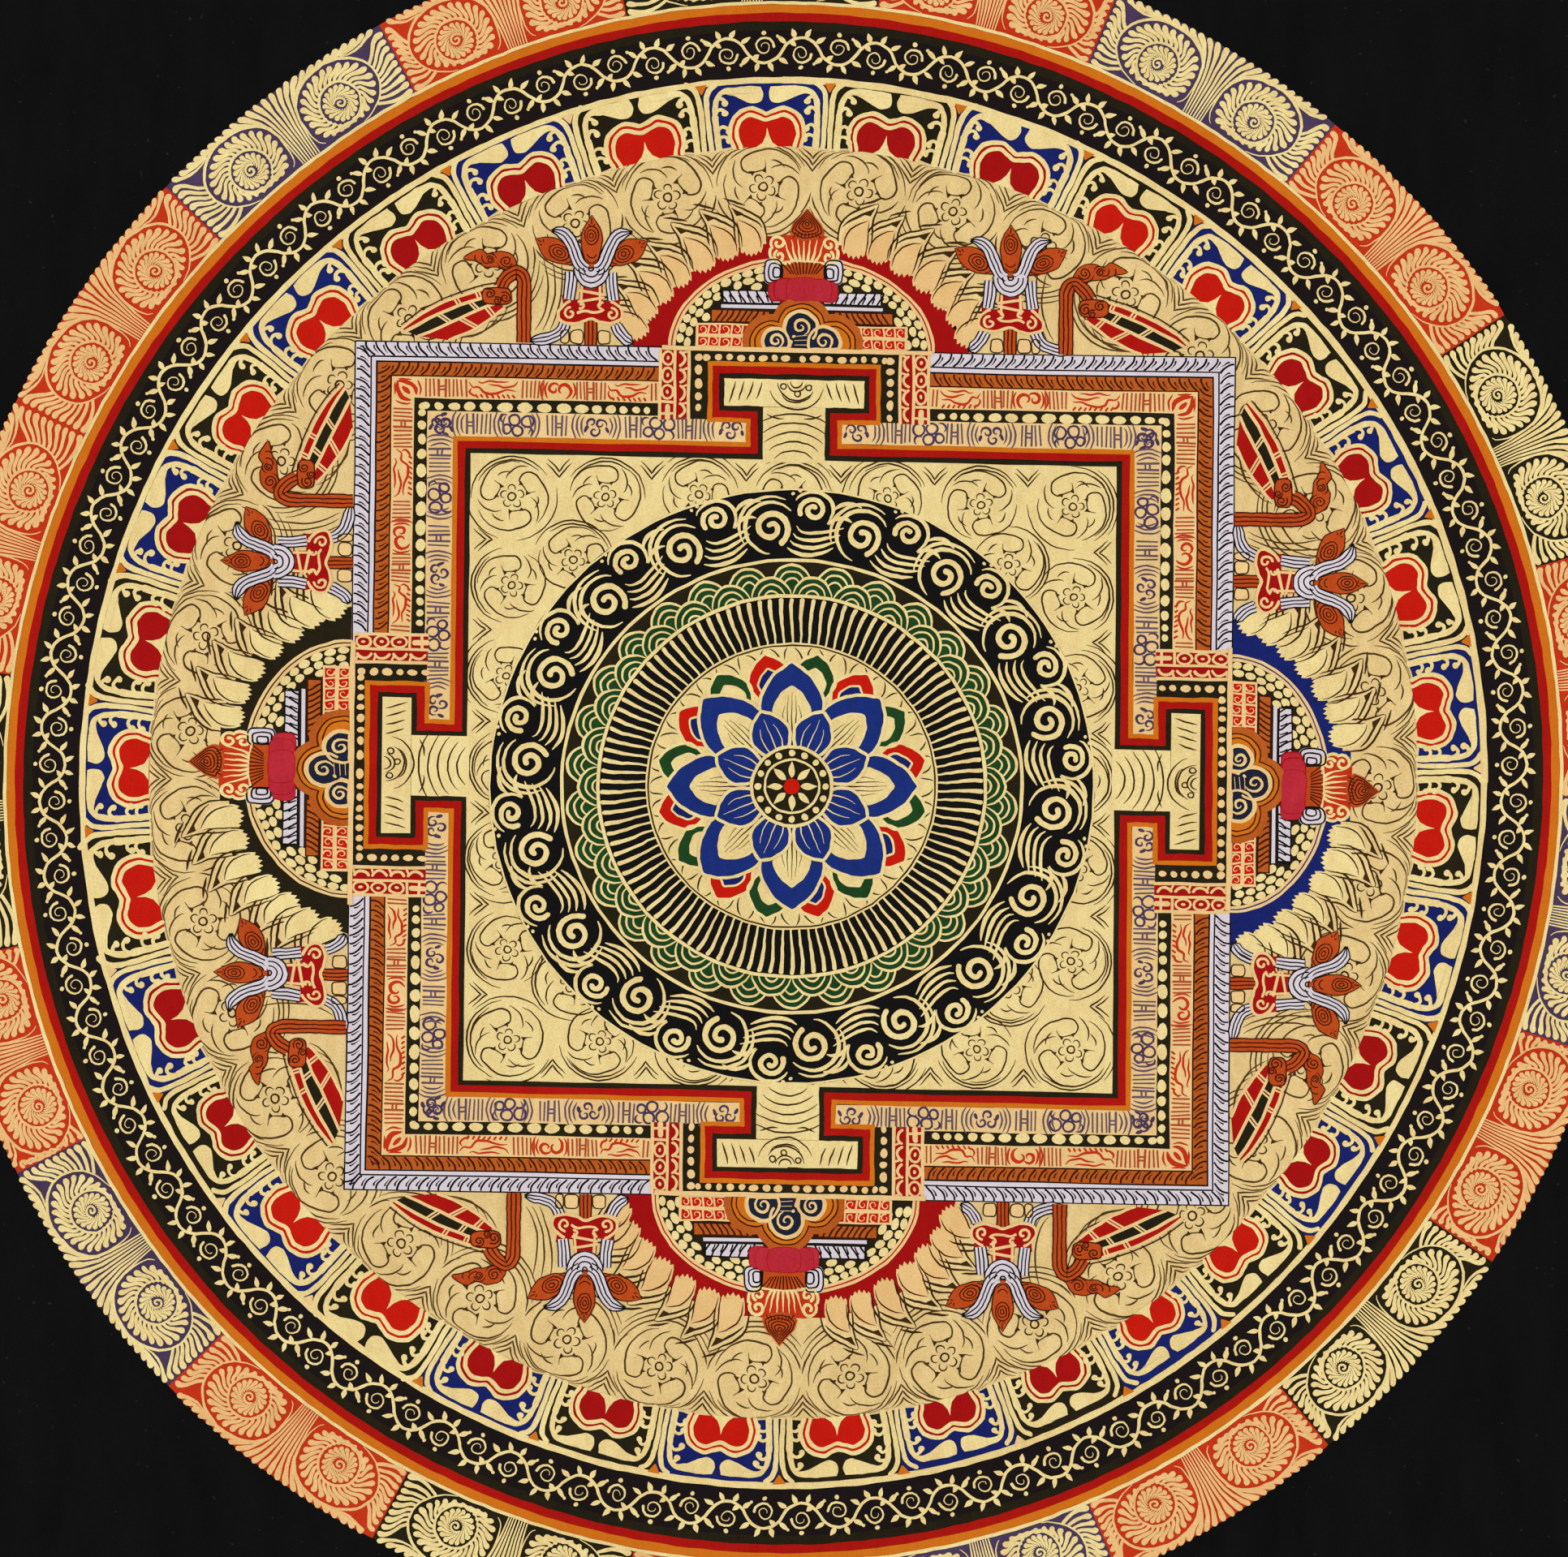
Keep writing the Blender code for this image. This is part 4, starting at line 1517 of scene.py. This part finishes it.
def skirt():
    """The red skirt under a finial's neck, scrolled with gold."""
    gold, red = coats("finials", "pale_gold", "crimson")
    edge = through(SKIRT, 3)
    red.area(edge, TOP)
    gold.stroke(edge[2:-2], 0.8, TOP + 0.5, crown=0.5)
    gold.stroke(bend((-3.4, 9.6), (-1.2, 7.6), (1.4, 10.4), (3.6, 8.6), 8), 0.7, TOP + 0.5, crown=0.5)
    for side in (-1.0, 1.0):
        gold.stroke(spiral(side * 5.6, 8.4, 1.8, 0.5, 90.0, -side * 1.0, 12), 0.7, TOP + 0.5, crown=0.5)
        hook = bend((side * 3.2, 11.6), (side * 1.6, 11.4), (side * 1.8, 9.8), (side * 3.0, 9.8), 6)
        gold.stroke(hook, 0.65, TOP + 0.5)
    red.area([(-3.4, 11.0), (3.4, 11.0), (2.9, 17.4), (-2.9, 17.4)], TOP)
    for y, lean in ((12.3, 0.7), (14.4, -0.6)):
        gold.stroke(line((-3.4, y + lean), (3.4, y - lean)), 0.75, TOP + 0.5, crown=0.5)
    for x in (-2.6, 2.8):
        gold.stroke(line((x, 10.8), (x * 0.9, 16.6)), 0.7, TOP + 0.5, crown=0.5)
    for side in (-1.0, 1.0):
        tab = [(side * 4.4, 11.4), (side * 7.6, 10.8), (side * 8.0, 13.4), (side * 4.4, 14.0)]
        red.area(tab, OVER_LINE)


def finial():
    """A finial: a pole with a red skirt, a scarf and flames."""
    gold, ink = coats("finials", "pale_gold", "line_ink")
    for x, wide in ((-3.6, 3.4), (3.8, 3.6), (7.0, 2.2)):
        gold.area(rounded(x, 2.0, wide, 3.8), OVER_LINE)
        ink.loop(rounded(x, 2.0, wide, 3.8), 0.35, OVER_LINE + 0.5)
    for side, reach in ((-1.0, 11.5), (1.0, 16.5)):
        sweep = bend((side * 7.0, 5.6), (side * 8.0, 2.4), (side * 10.0, 1.2), (side * reach, 0.7), 12)
        ribbon(sweep, 3.0, "lavender", "black", OVER_LINE, narrowing)
    ribbon(line((0.0, -0.1), (0.0, 6.6), step=2.0), 3.2, "ember", "rust_line", OVER_LINE)
    skirt()
    finial_flames()
    for _ in both_sides():
        scarf_half()
    lavender, black = coats("finials", "lavender", "black")
    bowl = arc(0.0, 20.8, 4.8, 180.0, 360.0, 12, 5.4)
    lavender.area(np.concatenate([bowl, [(3.0, 22.4), (0.0, 20.4), (-3.0, 22.4)]]), TOP + 1.5)
    for reach in (0.7, 2.1, 3.5, 4.8):
        black.stroke(arc(0.0, 20.9, reach, 180.0, 360.0, 12, reach * 1.1), 0.4, TOP + 2.0)


def flame(x, y, turn, long, wide, swirl):
    """A rust flame with an eye, swirl of its length up."""
    rust, ink = coats("finials", "ember", "rust_line")
    with placed(moved(x, y, turn)):
        side = through([(0.9, 0.0), (wide * 0.42, long * 0.3), (wide * 0.5, long * 0.6),
                        (wide * 0.3, long * 0.82)], 4)
        shape = mirrored(side, (0.0, long))
        rust.area(shape, OVER_LINE)
        ink.loop(shape, 0.3, OVER_LINE + 0.5)
        for reach in (0.22, 0.14, 0.06):
            eye = circle(0.0, long * swirl, wide * reach * 1.5, 12, wide * reach * 2.1)
            ink.loop(eye, 0.34, OVER_LINE + 0.5)
        for share in (0.1, 0.2, 0.3):
            ink.stroke(arc(0.0, long * share, wide * 0.24, 200.0, 340.0, 6), 0.34, OVER_LINE + 0.5)
        for across in (-0.14, 0.0, 0.14):
            tip = long * (0.94 - abs(across))
            ink.stroke(line((wide * across, long * 0.84), (wide * across * 0.5, tip)), 0.3, OVER_LINE + 0.5)


def finial_flames():
    """The three flames at a finial's top, with rust between them."""
    flame(0.0, 21.0, 0.0, 14.6, 5.8, 0.62)
    web = np.array([(3.2, 21.0), (6.0, 23.0), (8.0, 26.4), (5.0, 28.0), (3.4, 25.0)])
    for side in (-1.0, 1.0):
        flame(side * 4.4, 22.6, -side * 60.0, 12.6, 6.2, 0.4)
        coat("finials", "ember").area(web * (side, 1.0), OVER_LINE)


def banner_plume(rust, ink):
    """The plume that tops a banner's post."""
    plume = through(PLUME, 4)
    level = OVER_LINE + 0.5
    rust.area(plume, OVER_LINE)
    ink.loop(plume, 0.3, level)
    for x, y, reach, turn in ((5.0, 22.5, 1.8, 200.0), (9.2, 22.8, 1.2, 20.0)):
        ink.stroke(spiral(x, y, reach, 0.3, turn, 1.7, 18), 0.36, level)
        ink.stroke(arc(x, y, reach + 0.6, turn + 20.0, turn + 150.0, 8), 0.34, level, tapered)
    for x in (11.2, 13.0):
        ink.stroke(bend((x - 1.4, 21.8), (x, 21.6), (x + 0.8, 22.8), (x + 0.4, 23.8), 5), 0.34, level)


def banner():
    """A post that bends over towards the corner, with a plume, a knot and three ribbons."""
    rust, ink = coats("finials", "ember", "rust_line")
    banner_plume(rust, ink)
    post = [(0.0, 0.0), (0.0, 7.0), (0.0, 13.0), (0.2, 17.6), (2.0, 19.6), (5.0, 17.6), (7.0, 14.0)]
    ribbon(through(post, 5), 3.6, "ember", "rust_line", TOP)
    streamers()
    knot = rounded(7.4, 12.8, 8.0, 4.8)
    rust.area(knot, TOP + 1.0)
    for x, y, reach in ((5.2, 12.4, 1.7), (9.2, 13.4, 1.5), (7.2, 11.4, 1.2)):
        ink.stroke(spiral(x, y, reach, 0.3, 60.0, 1.5, 14), 0.4, TOP + 1.5)
    ink.loop(knot, 0.36, TOP + 1.5)


def streamers():
    """Red, dark and red ribbons with gold edges and cross bars."""
    gold = coat("finials", "pale_gold")
    edges = (
        bend((7.8, 15.6), (15.0, 13.8), (25.0, 10.4), (32.0, 3.4), 9),
        bend((7.2, 13.2), (14.0, 12.0), (23.0, 8.0), (31.0, 2.6), 9),
        bend((6.4, 11.2), (12.0, 9.6), (19.0, 5.2), (28.0, 1.2), 9),
        bend((5.4, 9.4), (9.0, 6.4), (14.0, 2.4), (20.0, 0.4), 9),
    )
    for paint, near, far in zip(("red", "green_black", "red"), edges, edges[1:]):
        coat("finials", paint).area(np.concatenate([near, far[::-1]]), OVER_LINE)
    for edge in edges:
        gold.stroke(edge, 0.85, TOP, crown=0.6)
    for near, far, crossings in zip(edges, edges[1:], ((2, 4), (3, 6), (2, 5))):
        for k in crossings:
            slope = (near[k + 1] - near[k]) / np.hypot(*(near[k + 1] - near[k]))
            for nudge in (-0.45, 0.45):
                gold.stroke(line(near[k] + slope * nudge, far[k] + slope * nudge), 0.5, TOP, crown=0.4)
    coat("finials", "line_ink").stroke(edges[0] + (0.3, 0.9), 0.4, OVER)


def side_ornaments(finials):
    """Finials and banners along a side, and the curls of gold between them."""
    ink = coat("clouds", "brown_ink")
    for side in both_sides():
        with placed(moved(finials[side], ORNAMENT_FOOT)):
            finial()
        with placed(moved(BANNER_X, ORNAMENT_FOOT)):
            banner()
        for k in range(3):
            curl = bend((70.4 - 1.9 * k, 121.4), (67.0 - 1.6 * k, 126.0 + k),
                        (66.0 - 1.7 * k, 133.0), (68.4 - 2.4 * k, 141.0), 9)
            ink.stroke(curl, INK_LINE, INLAY, tapered)
        for k in range(3):
            curl = bend((78.0 + 2.5 * k, 127.6 - 2.2 * k), (80.0 + 2.0 * k, 122.0 - k),
                        (86.0, 119.6), (92.0, 118.6), 7)
            ink.stroke(curl, INK_LINE, INLAY, tapered)


def gate_arches():
    """The four arches with the ornaments beside them."""
    with placed(on_the_square):
        for quarter in around(4):
            place = ARCHES[quarter]
            side_ornaments(place["finials"])
            with placed(arch_frame(place)):
                arch(place["ground"])


# ---------------- the dark ring's vine
VINE_UNITS = 62
VINE_MIDDLE = 196.9
# A half wave's leaves: how far along, how high, which way each points, and its length
VINE_LEAVES = (
    (0.08, 1.9, 140.0, 3.0), (0.32, 3.5, 110.0, 2.4), (0.62, 3.5, 60.0, 2.6),
    (0.9, 2.2, 30.0, 2.8), (0.2, 2.4, -40.0, 2.0),
)


def vine_unit(length):
    """A wave of a running vine: on each side half a wave of stem, a coil, leaves and two berries."""
    gold = coat("rings", "gold")
    half = length / 2.0
    for side, start in ((1.0, 0.0), (-1.0, half)):
        end = start + half
        rise = 4.6 * side
        stem = bend((start, 0.0), (start + half * 0.25, rise), (end - half * 0.25, rise), (end, 0.0), 10)
        gold.stroke(stem, 0.78, INLAY, crown=0.8)
        coil = spiral(start + half * 0.5, -0.9 * side, 2.7, 0.7, 0.0, -side * 1.5, 20)
        gold.stroke(coil, 0.74, INLAY, fading, crown=0.8)
        for share, y, turn, long in VINE_LEAVES:
            with placed(moved(start + half * share, y * side, turn * side)):
                leaf = line((-0.2, 0.0), (long, 0.0), step=0.45)
                gold.stroke(leaf, 1.35, INLAY, leaf_shaped, crown=0.8, round_ends=False)
        gold.dab(start + half * 0.5, -4.6 * side, 1.2, level=INLAY)
        gold.dab(start + half * 0.86, -3.7 * side, 0.9, level=INLAY)


def vine_ring():
    """The vine round the dark ring."""
    length = 2.0 * math.pi * VINE_MIDDLE / VINE_UNITS
    for k in range(VINE_UNITS):
        with placed(round_the_ring(90.0 - 360.0 / VINE_UNITS * k, VINE_MIDDLE, VINE_MIDDLE)):
            vine_unit(length)


# ---------------- the roundel: a lotus rosette
ROUNDEL_RADIUS = 80.0
ROUNDEL_MIDDLE, ROUNDEL_STRETCH = (2.45, -0.87), (1.017, 1.0)
ROSE = 15.0  # the level where the rosette's coats begin


def rosette_petal(paint, foot, tip, half, level, veins=0, heart=None):
    """A pointed lotus petal with a gold edge, veins and perhaps a heart of another colour."""
    gold = coat("roundel", "gold")
    rise = tip - foot
    side = through([(half * 0.35, foot), (half * 0.86, foot + rise * 0.3), (half, foot + rise * 0.55),
                    (half * 0.62, foot + rise * 0.83), (half * 0.12, tip - rise * 0.02)], 5)
    shape = mirrored(side, (0.0, tip))
    coat("roundel", paint).area(shape, level)
    gold.stroke(shape, 0.85, level + 0.5, crown=0.8)
    line_level, lines = level + 0.5, gold
    if heart:
        small = (shape - (0.0, foot)) * (0.56, 0.6) + (0.0, foot + rise * 0.12)
        coat("roundel", heart).area(small, level + 0.5)
        gold.loop(small, 0.55, level + 1.0, crown=0.6)
        if heart == "gold":
            line_level, lines = level + 1.0, coat("roundel", "line_ink")
            half *= 0.5
            rise *= 0.66
            foot += rise * 0.14
    for k in range(veins):
        share = (k + 0.5) / veins * 2.0 - 1.0
        top = foot + rise * (0.84 - 0.34 * share * share)
        vein = bend((share * half * 0.3, foot + 0.8), (share * half * 0.8, foot + rise * 0.3),
                    (share * half * 0.85, top - 3.0), (share * half * 0.55, top), 7)
        lines.stroke(vein, 0.46, line_level, fading, crown=0.4)


def cloud_curl(gold):
    """A scrolled cloud: a large curl and a small one, with waves that run on to the next cloud."""
    level = TOP_LINE
    gold.stroke(spiral(-5.6, -0.8, 5.0, 0.9, -60.0, 1.5, 30), 1.5, level, crown=1.0)
    gold.stroke(arc(-5.6, -0.8, 6.9, 40.0, 262.0, 22), 1.15, level, tapered, crown=0.9)
    gold.stroke(arc(-5.6, -0.8, 8.5, 62.0, 205.0, 18), 0.95, level, tapered, crown=0.9)
    gold.stroke(spiral(5.4, 4.0, 3.5, 0.7, 205.0, -1.4, 22), 1.3, level, crown=1.0)
    gold.stroke(arc(5.4, 4.0, 5.0, -40.0, 150.0, 16), 1.0, level, tapered, crown=0.9)
    for k in range(4):
        lift = 1.95 * k
        wave = bend((-1.4 + 0.9 * k, -6.4 + lift), (2.6, -9.2 + lift), (7.6, -8.4 + lift),
                    (11.8 + 0.6 * k, -5.6 + lift), 9)
        gold.stroke(wave, 1.15 - 0.08 * k, level, tapered, crown=0.9)
    gold.stroke(bend((9.6, 0.6), (11.0, 2.6), (13.2, 3.4), (15.4, 2.2), 7), 1.1, level, tapered, crown=0.9)
    gold.stroke(bend((10.4, 4.4), (11.6, 6.8), (14.2, 7.8), (17.0, 6.6), 7), 1.1, level, tapered, crown=0.9)
    for x, y in ((0.4, 8.2), (2.0, 8.9)):
        gold.dab(x, y, 0.9, level=level)


def disc(paint, radius, level, steps=96):
    """A round field of the roundel."""
    coat("roundel", paint).area(circle(0.0, 0.0, radius, steps), level)


def round_line(paint, radius, width, level, crown=0.0, steps=96):
    """A line round the roundel's middle."""
    coat("roundel", paint).loop(circle(0.0, 0.0, radius, steps), width, level, crown)


def roundel_rim():
    """Gold clouds on black round the roundel's edge."""
    gold = coat("roundel", "gold")
    disc("black", ROUNDEL_RADIUS, TOP + 0.5)
    round_line("gold", ROUNDEL_RADIUS - 0.2, 0.5, TOP_LINE, 0.6, 120)
    for _ in around(18):
        with placed(round_the_ring(90.0, 70.4, 70.4)):
            cloud_curl(gold)


def wave_scales():
    """Green scales with gold comb lines, between the clouds and the rays."""
    gold, green = coats("roundel", "gold", "green")
    disc("green_black", 60.6, TOP_LINE + 1.8)
    round_line("gold", 60.8, 0.9, TOP_LINE + 2.3, 0.6, 120)
    for tier, base in enumerate((53.4, 50.2)):
        for _ in around(30, 6.0 * tier):
            with placed(moved(0.0, base)):
                green_scale(gold, green, TOP_LINE + 2.3 + 1.3 * tier)


def green_scale(gold, green, level):
    """A scale of water: three gold arcs on green."""
    foot = [(-5.2, -2.6), (5.2, -2.6)]
    green.area(np.concatenate([arc(0.0, 0.0, 5.3, 6.0, 174.0, 14, 6.2), foot]), level)
    for reach, width in ((5.3, 0.75), (3.7, 0.6), (2.1, 0.55)):
        arch = arc(0.0, 0.0, reach, 8.0, 172.0, 14, reach * 1.17)
        gold.stroke(arch, width, level + 0.5, tapered, crown=0.6)


def rays_and_gold(base):
    """Wavy gold rays on black round a gold disc with short dark curls at its rim."""
    gold, ink = coats("roundel", "gold", "line_ink")
    disc("black", 51.4, base)
    round_line("gold", 51.2, 0.9, base + 0.5, 0.8)
    for _ in around(110):
        ray = bend((0.0, 36.0), (0.7, 41.0), (-0.7, 45.0), (0.0, 50.2), 9)
        gold.stroke(ray, 1.15, base + 0.5, growing, crown=0.8)
    disc("gold", 38.6, base + 1.8)
    level = base + 2.3
    round_line("line_ink", 37.9, 0.45, level)
    for _ in around(36, 5.0):
        ink.stroke(bend((-2.6, 37.2), (-1.0, 36.6), (-0.2, 34.8), (0.0, 33.0), 6), 0.45, level, tapered)
        ink.stroke(bend((2.0, 37.4), (1.0, 36.4), (1.2, 35.2), (0.9, 34.0), 6), 0.42, level, tapered)


def jewelled_heart(base):
    """The rosette's dark middle, with beads, drops and a red jewel."""
    gold = coat("roundel", "gold")
    level = base + 0.5
    disc("green_black", 10.6, base, 48)
    round_line("gold", 10.6, 0.9, level, 0.8, 60)
    for _ in around(16):
        gold.dab(0.0, 8.9, 1.8, 1.8, level=level)
    round_line("gold", 7.2, 0.6, level, 0.6, 48)
    for _ in around(8):
        gold.stroke(line((0.0, 2.4), (0.0, 6.6), step=0.5), 1.8, level, leaf_shaped, crown=1.0)
    coat("roundel", "scarlet").dab(0.0, 0.0, 4.2, level=level, sides=18)


def rosette():
    """Rays and rings of petals round a jewelled heart."""
    rays_and_gold(ROSE)
    for k in around(16, 11.25):
        outer, inner = ("scarlet", "blue") if k % 2 else ("green", "gold")
        rosette_petal(outer, 22.0, 36.2, 5.9, ROSE + 2.9, heart=inner)
    for k in around(8):
        rosette_petal("azure", 10.0, 33.4, 8.5, ROSE + 5.6 + 2.4 * (k % 2), 5, "gold")
    for k in around(8, 22.5):
        rosette_petal("azure", 8.0, 21.6, 5.2, ROSE + 10.6 + 2.4 * (k % 2), 3)
    jewelled_heart(ROSE + 15.4)


def roundel_frame(points):
    """The roundel's frame, a little wider than it is high."""
    return points * ROUNDEL_STRETCH + ROUNDEL_MIDDLE


def roundel():
    """The whole roundel, over the square's field."""
    with placed(roundel_frame):
        roundel_rim()
        wave_scales()
        rosette()


# ---------------- canvas, light and camera
EDGE_LIFT = 0.9  # how far the free edge of the cloth waves up, in millimetres
CORNER_LIFT = 2.2  # and its corners
RINGS_OF_CLOTH = 26
FLAT_RING, FLAT_CORNER = 236.0, 262.0  # how far from the middle the cloth lies flat
RIM_RISE, CORNER_RISE = 18.0, 92.0  # the widths over which it then lifts
UNDERCUT = 0.9994  # the size of the cloth's lower rim, as a share of the upper one's


def cut_line():
    """The sheet's outline from the solid, anticlockwise, in millimetres."""
    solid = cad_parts["canvas"]
    points = np.array([v.co for v in solid.data.vertices])
    low = points[points[:, 2] < CANVAS_LOW[2] + 0.1 * MM, :2]
    low = np.unique(np.round(low / MM, 4), axis=0)
    return low[np.argsort(np.arctan2(low[:, 1], low[:, 0]))]


def cloth_lift(points):
    """How far the cloth stands off the table: not at all under the paint, and a little at its rim."""
    reach = np.abs(points).max(axis=1)
    bearing = np.arctan2(points[:, 1], points[:, 0])
    rim = np.clip((reach - FLAT_RING) / RIM_RISE, 0.0, 1.0) ** 2
    wave = 0.5 + 0.5 * np.sin(5.0 * bearing + 0.8) * np.sin(2.0 * bearing + 2.1)
    corner = np.clip((np.hypot(*points.T) - FLAT_CORNER) / CORNER_RISE, 0.0, 1.0) ** 2
    return EDGE_LIFT * rim * wave + CORNER_LIFT * corner


def canvas_sheet():
    """The cloth on its solid's cut line, painted black above, bare cotton below and at the cut edge."""
    outline = cut_line()
    n = len(outline)
    shares = np.linspace(1.0, 0.0, RINGS_OF_CLOTH) ** 0.8
    spans = [outline * share for share in shares[:-1]]
    thick = CANVAS_TOP - CANVAS_LOW[2] / MM
    over = [np.column_stack([points, CANVAS_TOP + cloth_lift(points)]) for points in spans]
    under = [points - (0.0, 0.0, thick) for points in over]
    rings = [*under[::-1], *over]
    rings[len(under) - 1] = under[0] * (UNDERCUT, UNDERCUT, 1.0)
    points = np.concatenate([*rings, [[0.0, 0.0, 0.0], [0.0, 0.0, CANVAS_TOP]]])
    here = np.arange(n)
    there = (here + 1) % n
    faces = []
    for start in range(0, (len(rings) - 1) * n, n):
        end = start + n
        faces.append(np.stack([start + here, start + there, end + there, end + here], axis=1))
    last = (len(rings) - 1) * n
    none = np.full(n, NO_CORNER)
    bottom, top = len(points) - 2, len(points) - 1
    faces.append(np.stack([there, here, np.full(n, bottom), none], axis=1))
    faces.append(np.stack([last + here, last + there, np.full(n, top), none], axis=1))
    sheet = mesh_object("painted_cloth", points * MM, np.concatenate(faces), np.full(len(points), 0.5),
                        canvas_material())
    sheet.data.materials.append(cotton_material())
    painted = np.arange(len(sheet.data.polygons)) >= len(under) * n
    painted[-2 * n:-n] = False
    sheet.data.polygons.foreach_set("material_index", np.where(painted, 0, 1))
    sheet.data.uv_layers.remove(sheet.data.uv_layers[PLAN_MAP])
    return sheet


def canvas_material():
    """Matte black ground brushed over the priming, with the weave just showing and a few specks."""
    n = Nodes("black_ground")
    grain = n.span(n.noise(0.7, 3.0), 0.3, 0.7)
    brushed = n.span(n.noise(9.0, 3.0, (1.0, 0.3, 1.0)), 0.3, 0.7)
    dust = n.span(n.noise(1.6, 1.0), 0.755, 0.80)
    ground = n.blend(n.total((grain, 0.4), (brushed, 0.6)), srgb(11, 11, 11), srgb(17, 16, 17))
    return n.finish(
        Base_Color=n.blend(dust, ground, srgb(34, 32, 33)),
        Roughness=n.span(brushed, 0.0, 1.0, 0.82, 0.7),
        Specular_IOR_Level=0.03, Normal=n.bump(n.total((n.weave(), 0.7), (grain, 0.5)), 0.35, 0.06),
    )


def cotton_material():
    """Unpainted cotton: the sheet's back and its cut edge."""
    n = Nodes("bare_cotton")
    weave = n.weave()
    slubs = n.span(n.noise(2.2, 3.0, (1.0, 0.25, 1.0)), 0.3, 0.7)
    mix = n.total((weave, 0.6), (slubs, 0.4))
    return n.finish(
        Base_Color=n.blend(mix, srgb(178, 160, 128), srgb(226, 214, 190)),
        Roughness=0.9, Specular_IOR_Level=0.15, Normal=n.bump(weave, 0.6, 0.12),
    )


PHOTO_SIZE = (1932, 1919)  # pixels
MM_A_PIXEL = 0.218
VIEW_MIDDLE = (0.35, 1.24)  # where the photograph's middle falls on the canvas, in millimetres
LENS, SENSOR = 100.0, 36.0


def camera():
    """Straight above the picture, framed as the photograph is."""
    data = bpy.data.cameras.new("camera")
    data.lens, data.sensor_width = LENS, SENSOR
    data.clip_start, data.clip_end = 0.05, 20.0
    distance = PHOTO_SIZE[0] * MM_A_PIXEL * MM * LENS / SENSOR
    obj = scene_object("camera", data)
    obj.location = (VIEW_MIDDLE[0] * MM, VIEW_MIDDLE[1] * MM, CANVAS_TOP * MM + distance)
    bpy.context.scene.camera = obj


# Softboxes at each side, as in a copying stand: bearing and height in degrees, distance and side in
# metres, and power in watts
SOFTBOXES = (
    {"bearing": 180.0, "height": 42.0, "distance": 1.7, "side": 1.1, "watts": 11.4},
    {"bearing": 0.0, "height": 42.0, "distance": 1.7, "side": 1.1, "watts": 11.4},
    {"bearing": 90.0, "height": 48.0, "distance": 1.8, "side": 1.1, "watts": 7.6},
    {"bearing": 270.0, "height": 48.0, "distance": 1.8, "side": 1.1, "watts": 6.6},
)
ROOM_LIGHT = 0.24
TABLE_HALF, TABLE_GAP = 6.0, 0.0002  # in metres: half the table top's side, and how far under the cloth


def lights():
    """The softboxes, and a little light from all round."""
    for number, box in enumerate(SOFTBOXES):
        data = bpy.data.lights.new(f"softbox_{number}", "AREA")
        data.shape, data.size, data.energy = "SQUARE", box["side"], box["watts"]
        obj = scene_object(f"softbox_{number}", data)
        level, high = math.radians(box["bearing"]), math.radians(box["height"])
        obj.location = (
            box["distance"] * math.cos(high) * math.cos(level),
            box["distance"] * math.cos(high) * math.sin(level),
            box["distance"] * math.sin(high),
        )
        obj.rotation_euler = (math.pi / 2.0 - high, 0.0, level + math.pi / 2.0)
    world = bpy.data.worlds.new("room")
    world.use_nodes = True
    room = world.node_tree.nodes["Background"].inputs
    room["Color"].default_value = (1.0, 0.99, 0.97, 1.0)
    room["Strength"].default_value = ROOM_LIGHT
    bpy.context.scene.world = world
    bpy.context.scene.view_settings.view_transform = "Standard"
    bpy.context.scene.view_settings.look = "None"


def floor():
    """A plain pale table top."""
    mesh = bpy.data.meshes.new("table_top")
    corners = oblong(-TABLE_HALF, TABLE_HALF, -TABLE_HALF, TABLE_HALF)
    mesh.from_pydata([(x, y, CANVAS_LOW[2] - TABLE_GAP) for x, y in corners], [], [(0, 1, 2, 3)])
    n = Nodes("table_top")
    cloud = n.span(n.noise(180.0, 2.0), 0.3, 0.7)
    colour = n.blend(cloud, srgb(208, 206, 202), srgb(214, 212, 208))
    mesh.materials.append(n.finish(Base_Color=colour, Roughness=0.85))
    scene_object("table_top", mesh)


def painting():
    """Every part of the picture, from the rim inwards."""
    plain_rings()
    swirl_ring()
    vine_ring()
    petal_ring()
    cloud_ring()
    gate_arches()
    square()
    roundel()


def main():
    """Sets up the scene, paints the cloth and says how its pieces ride."""
    random.seed(7)
    camera()
    lights()
    floor()
    sheet = canvas_sheet()
    painting()
    looks = {}
    pieces = []
    for (_, paint), brushwork in COATS.items():
        if paint not in looks:
            looks[paint] = paint_material(paint)
        pieces.append(brushwork.build(looks[paint]))
    for piece in (sheet, *pieces):
        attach(piece, "root")
    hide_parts("canvas")


main()
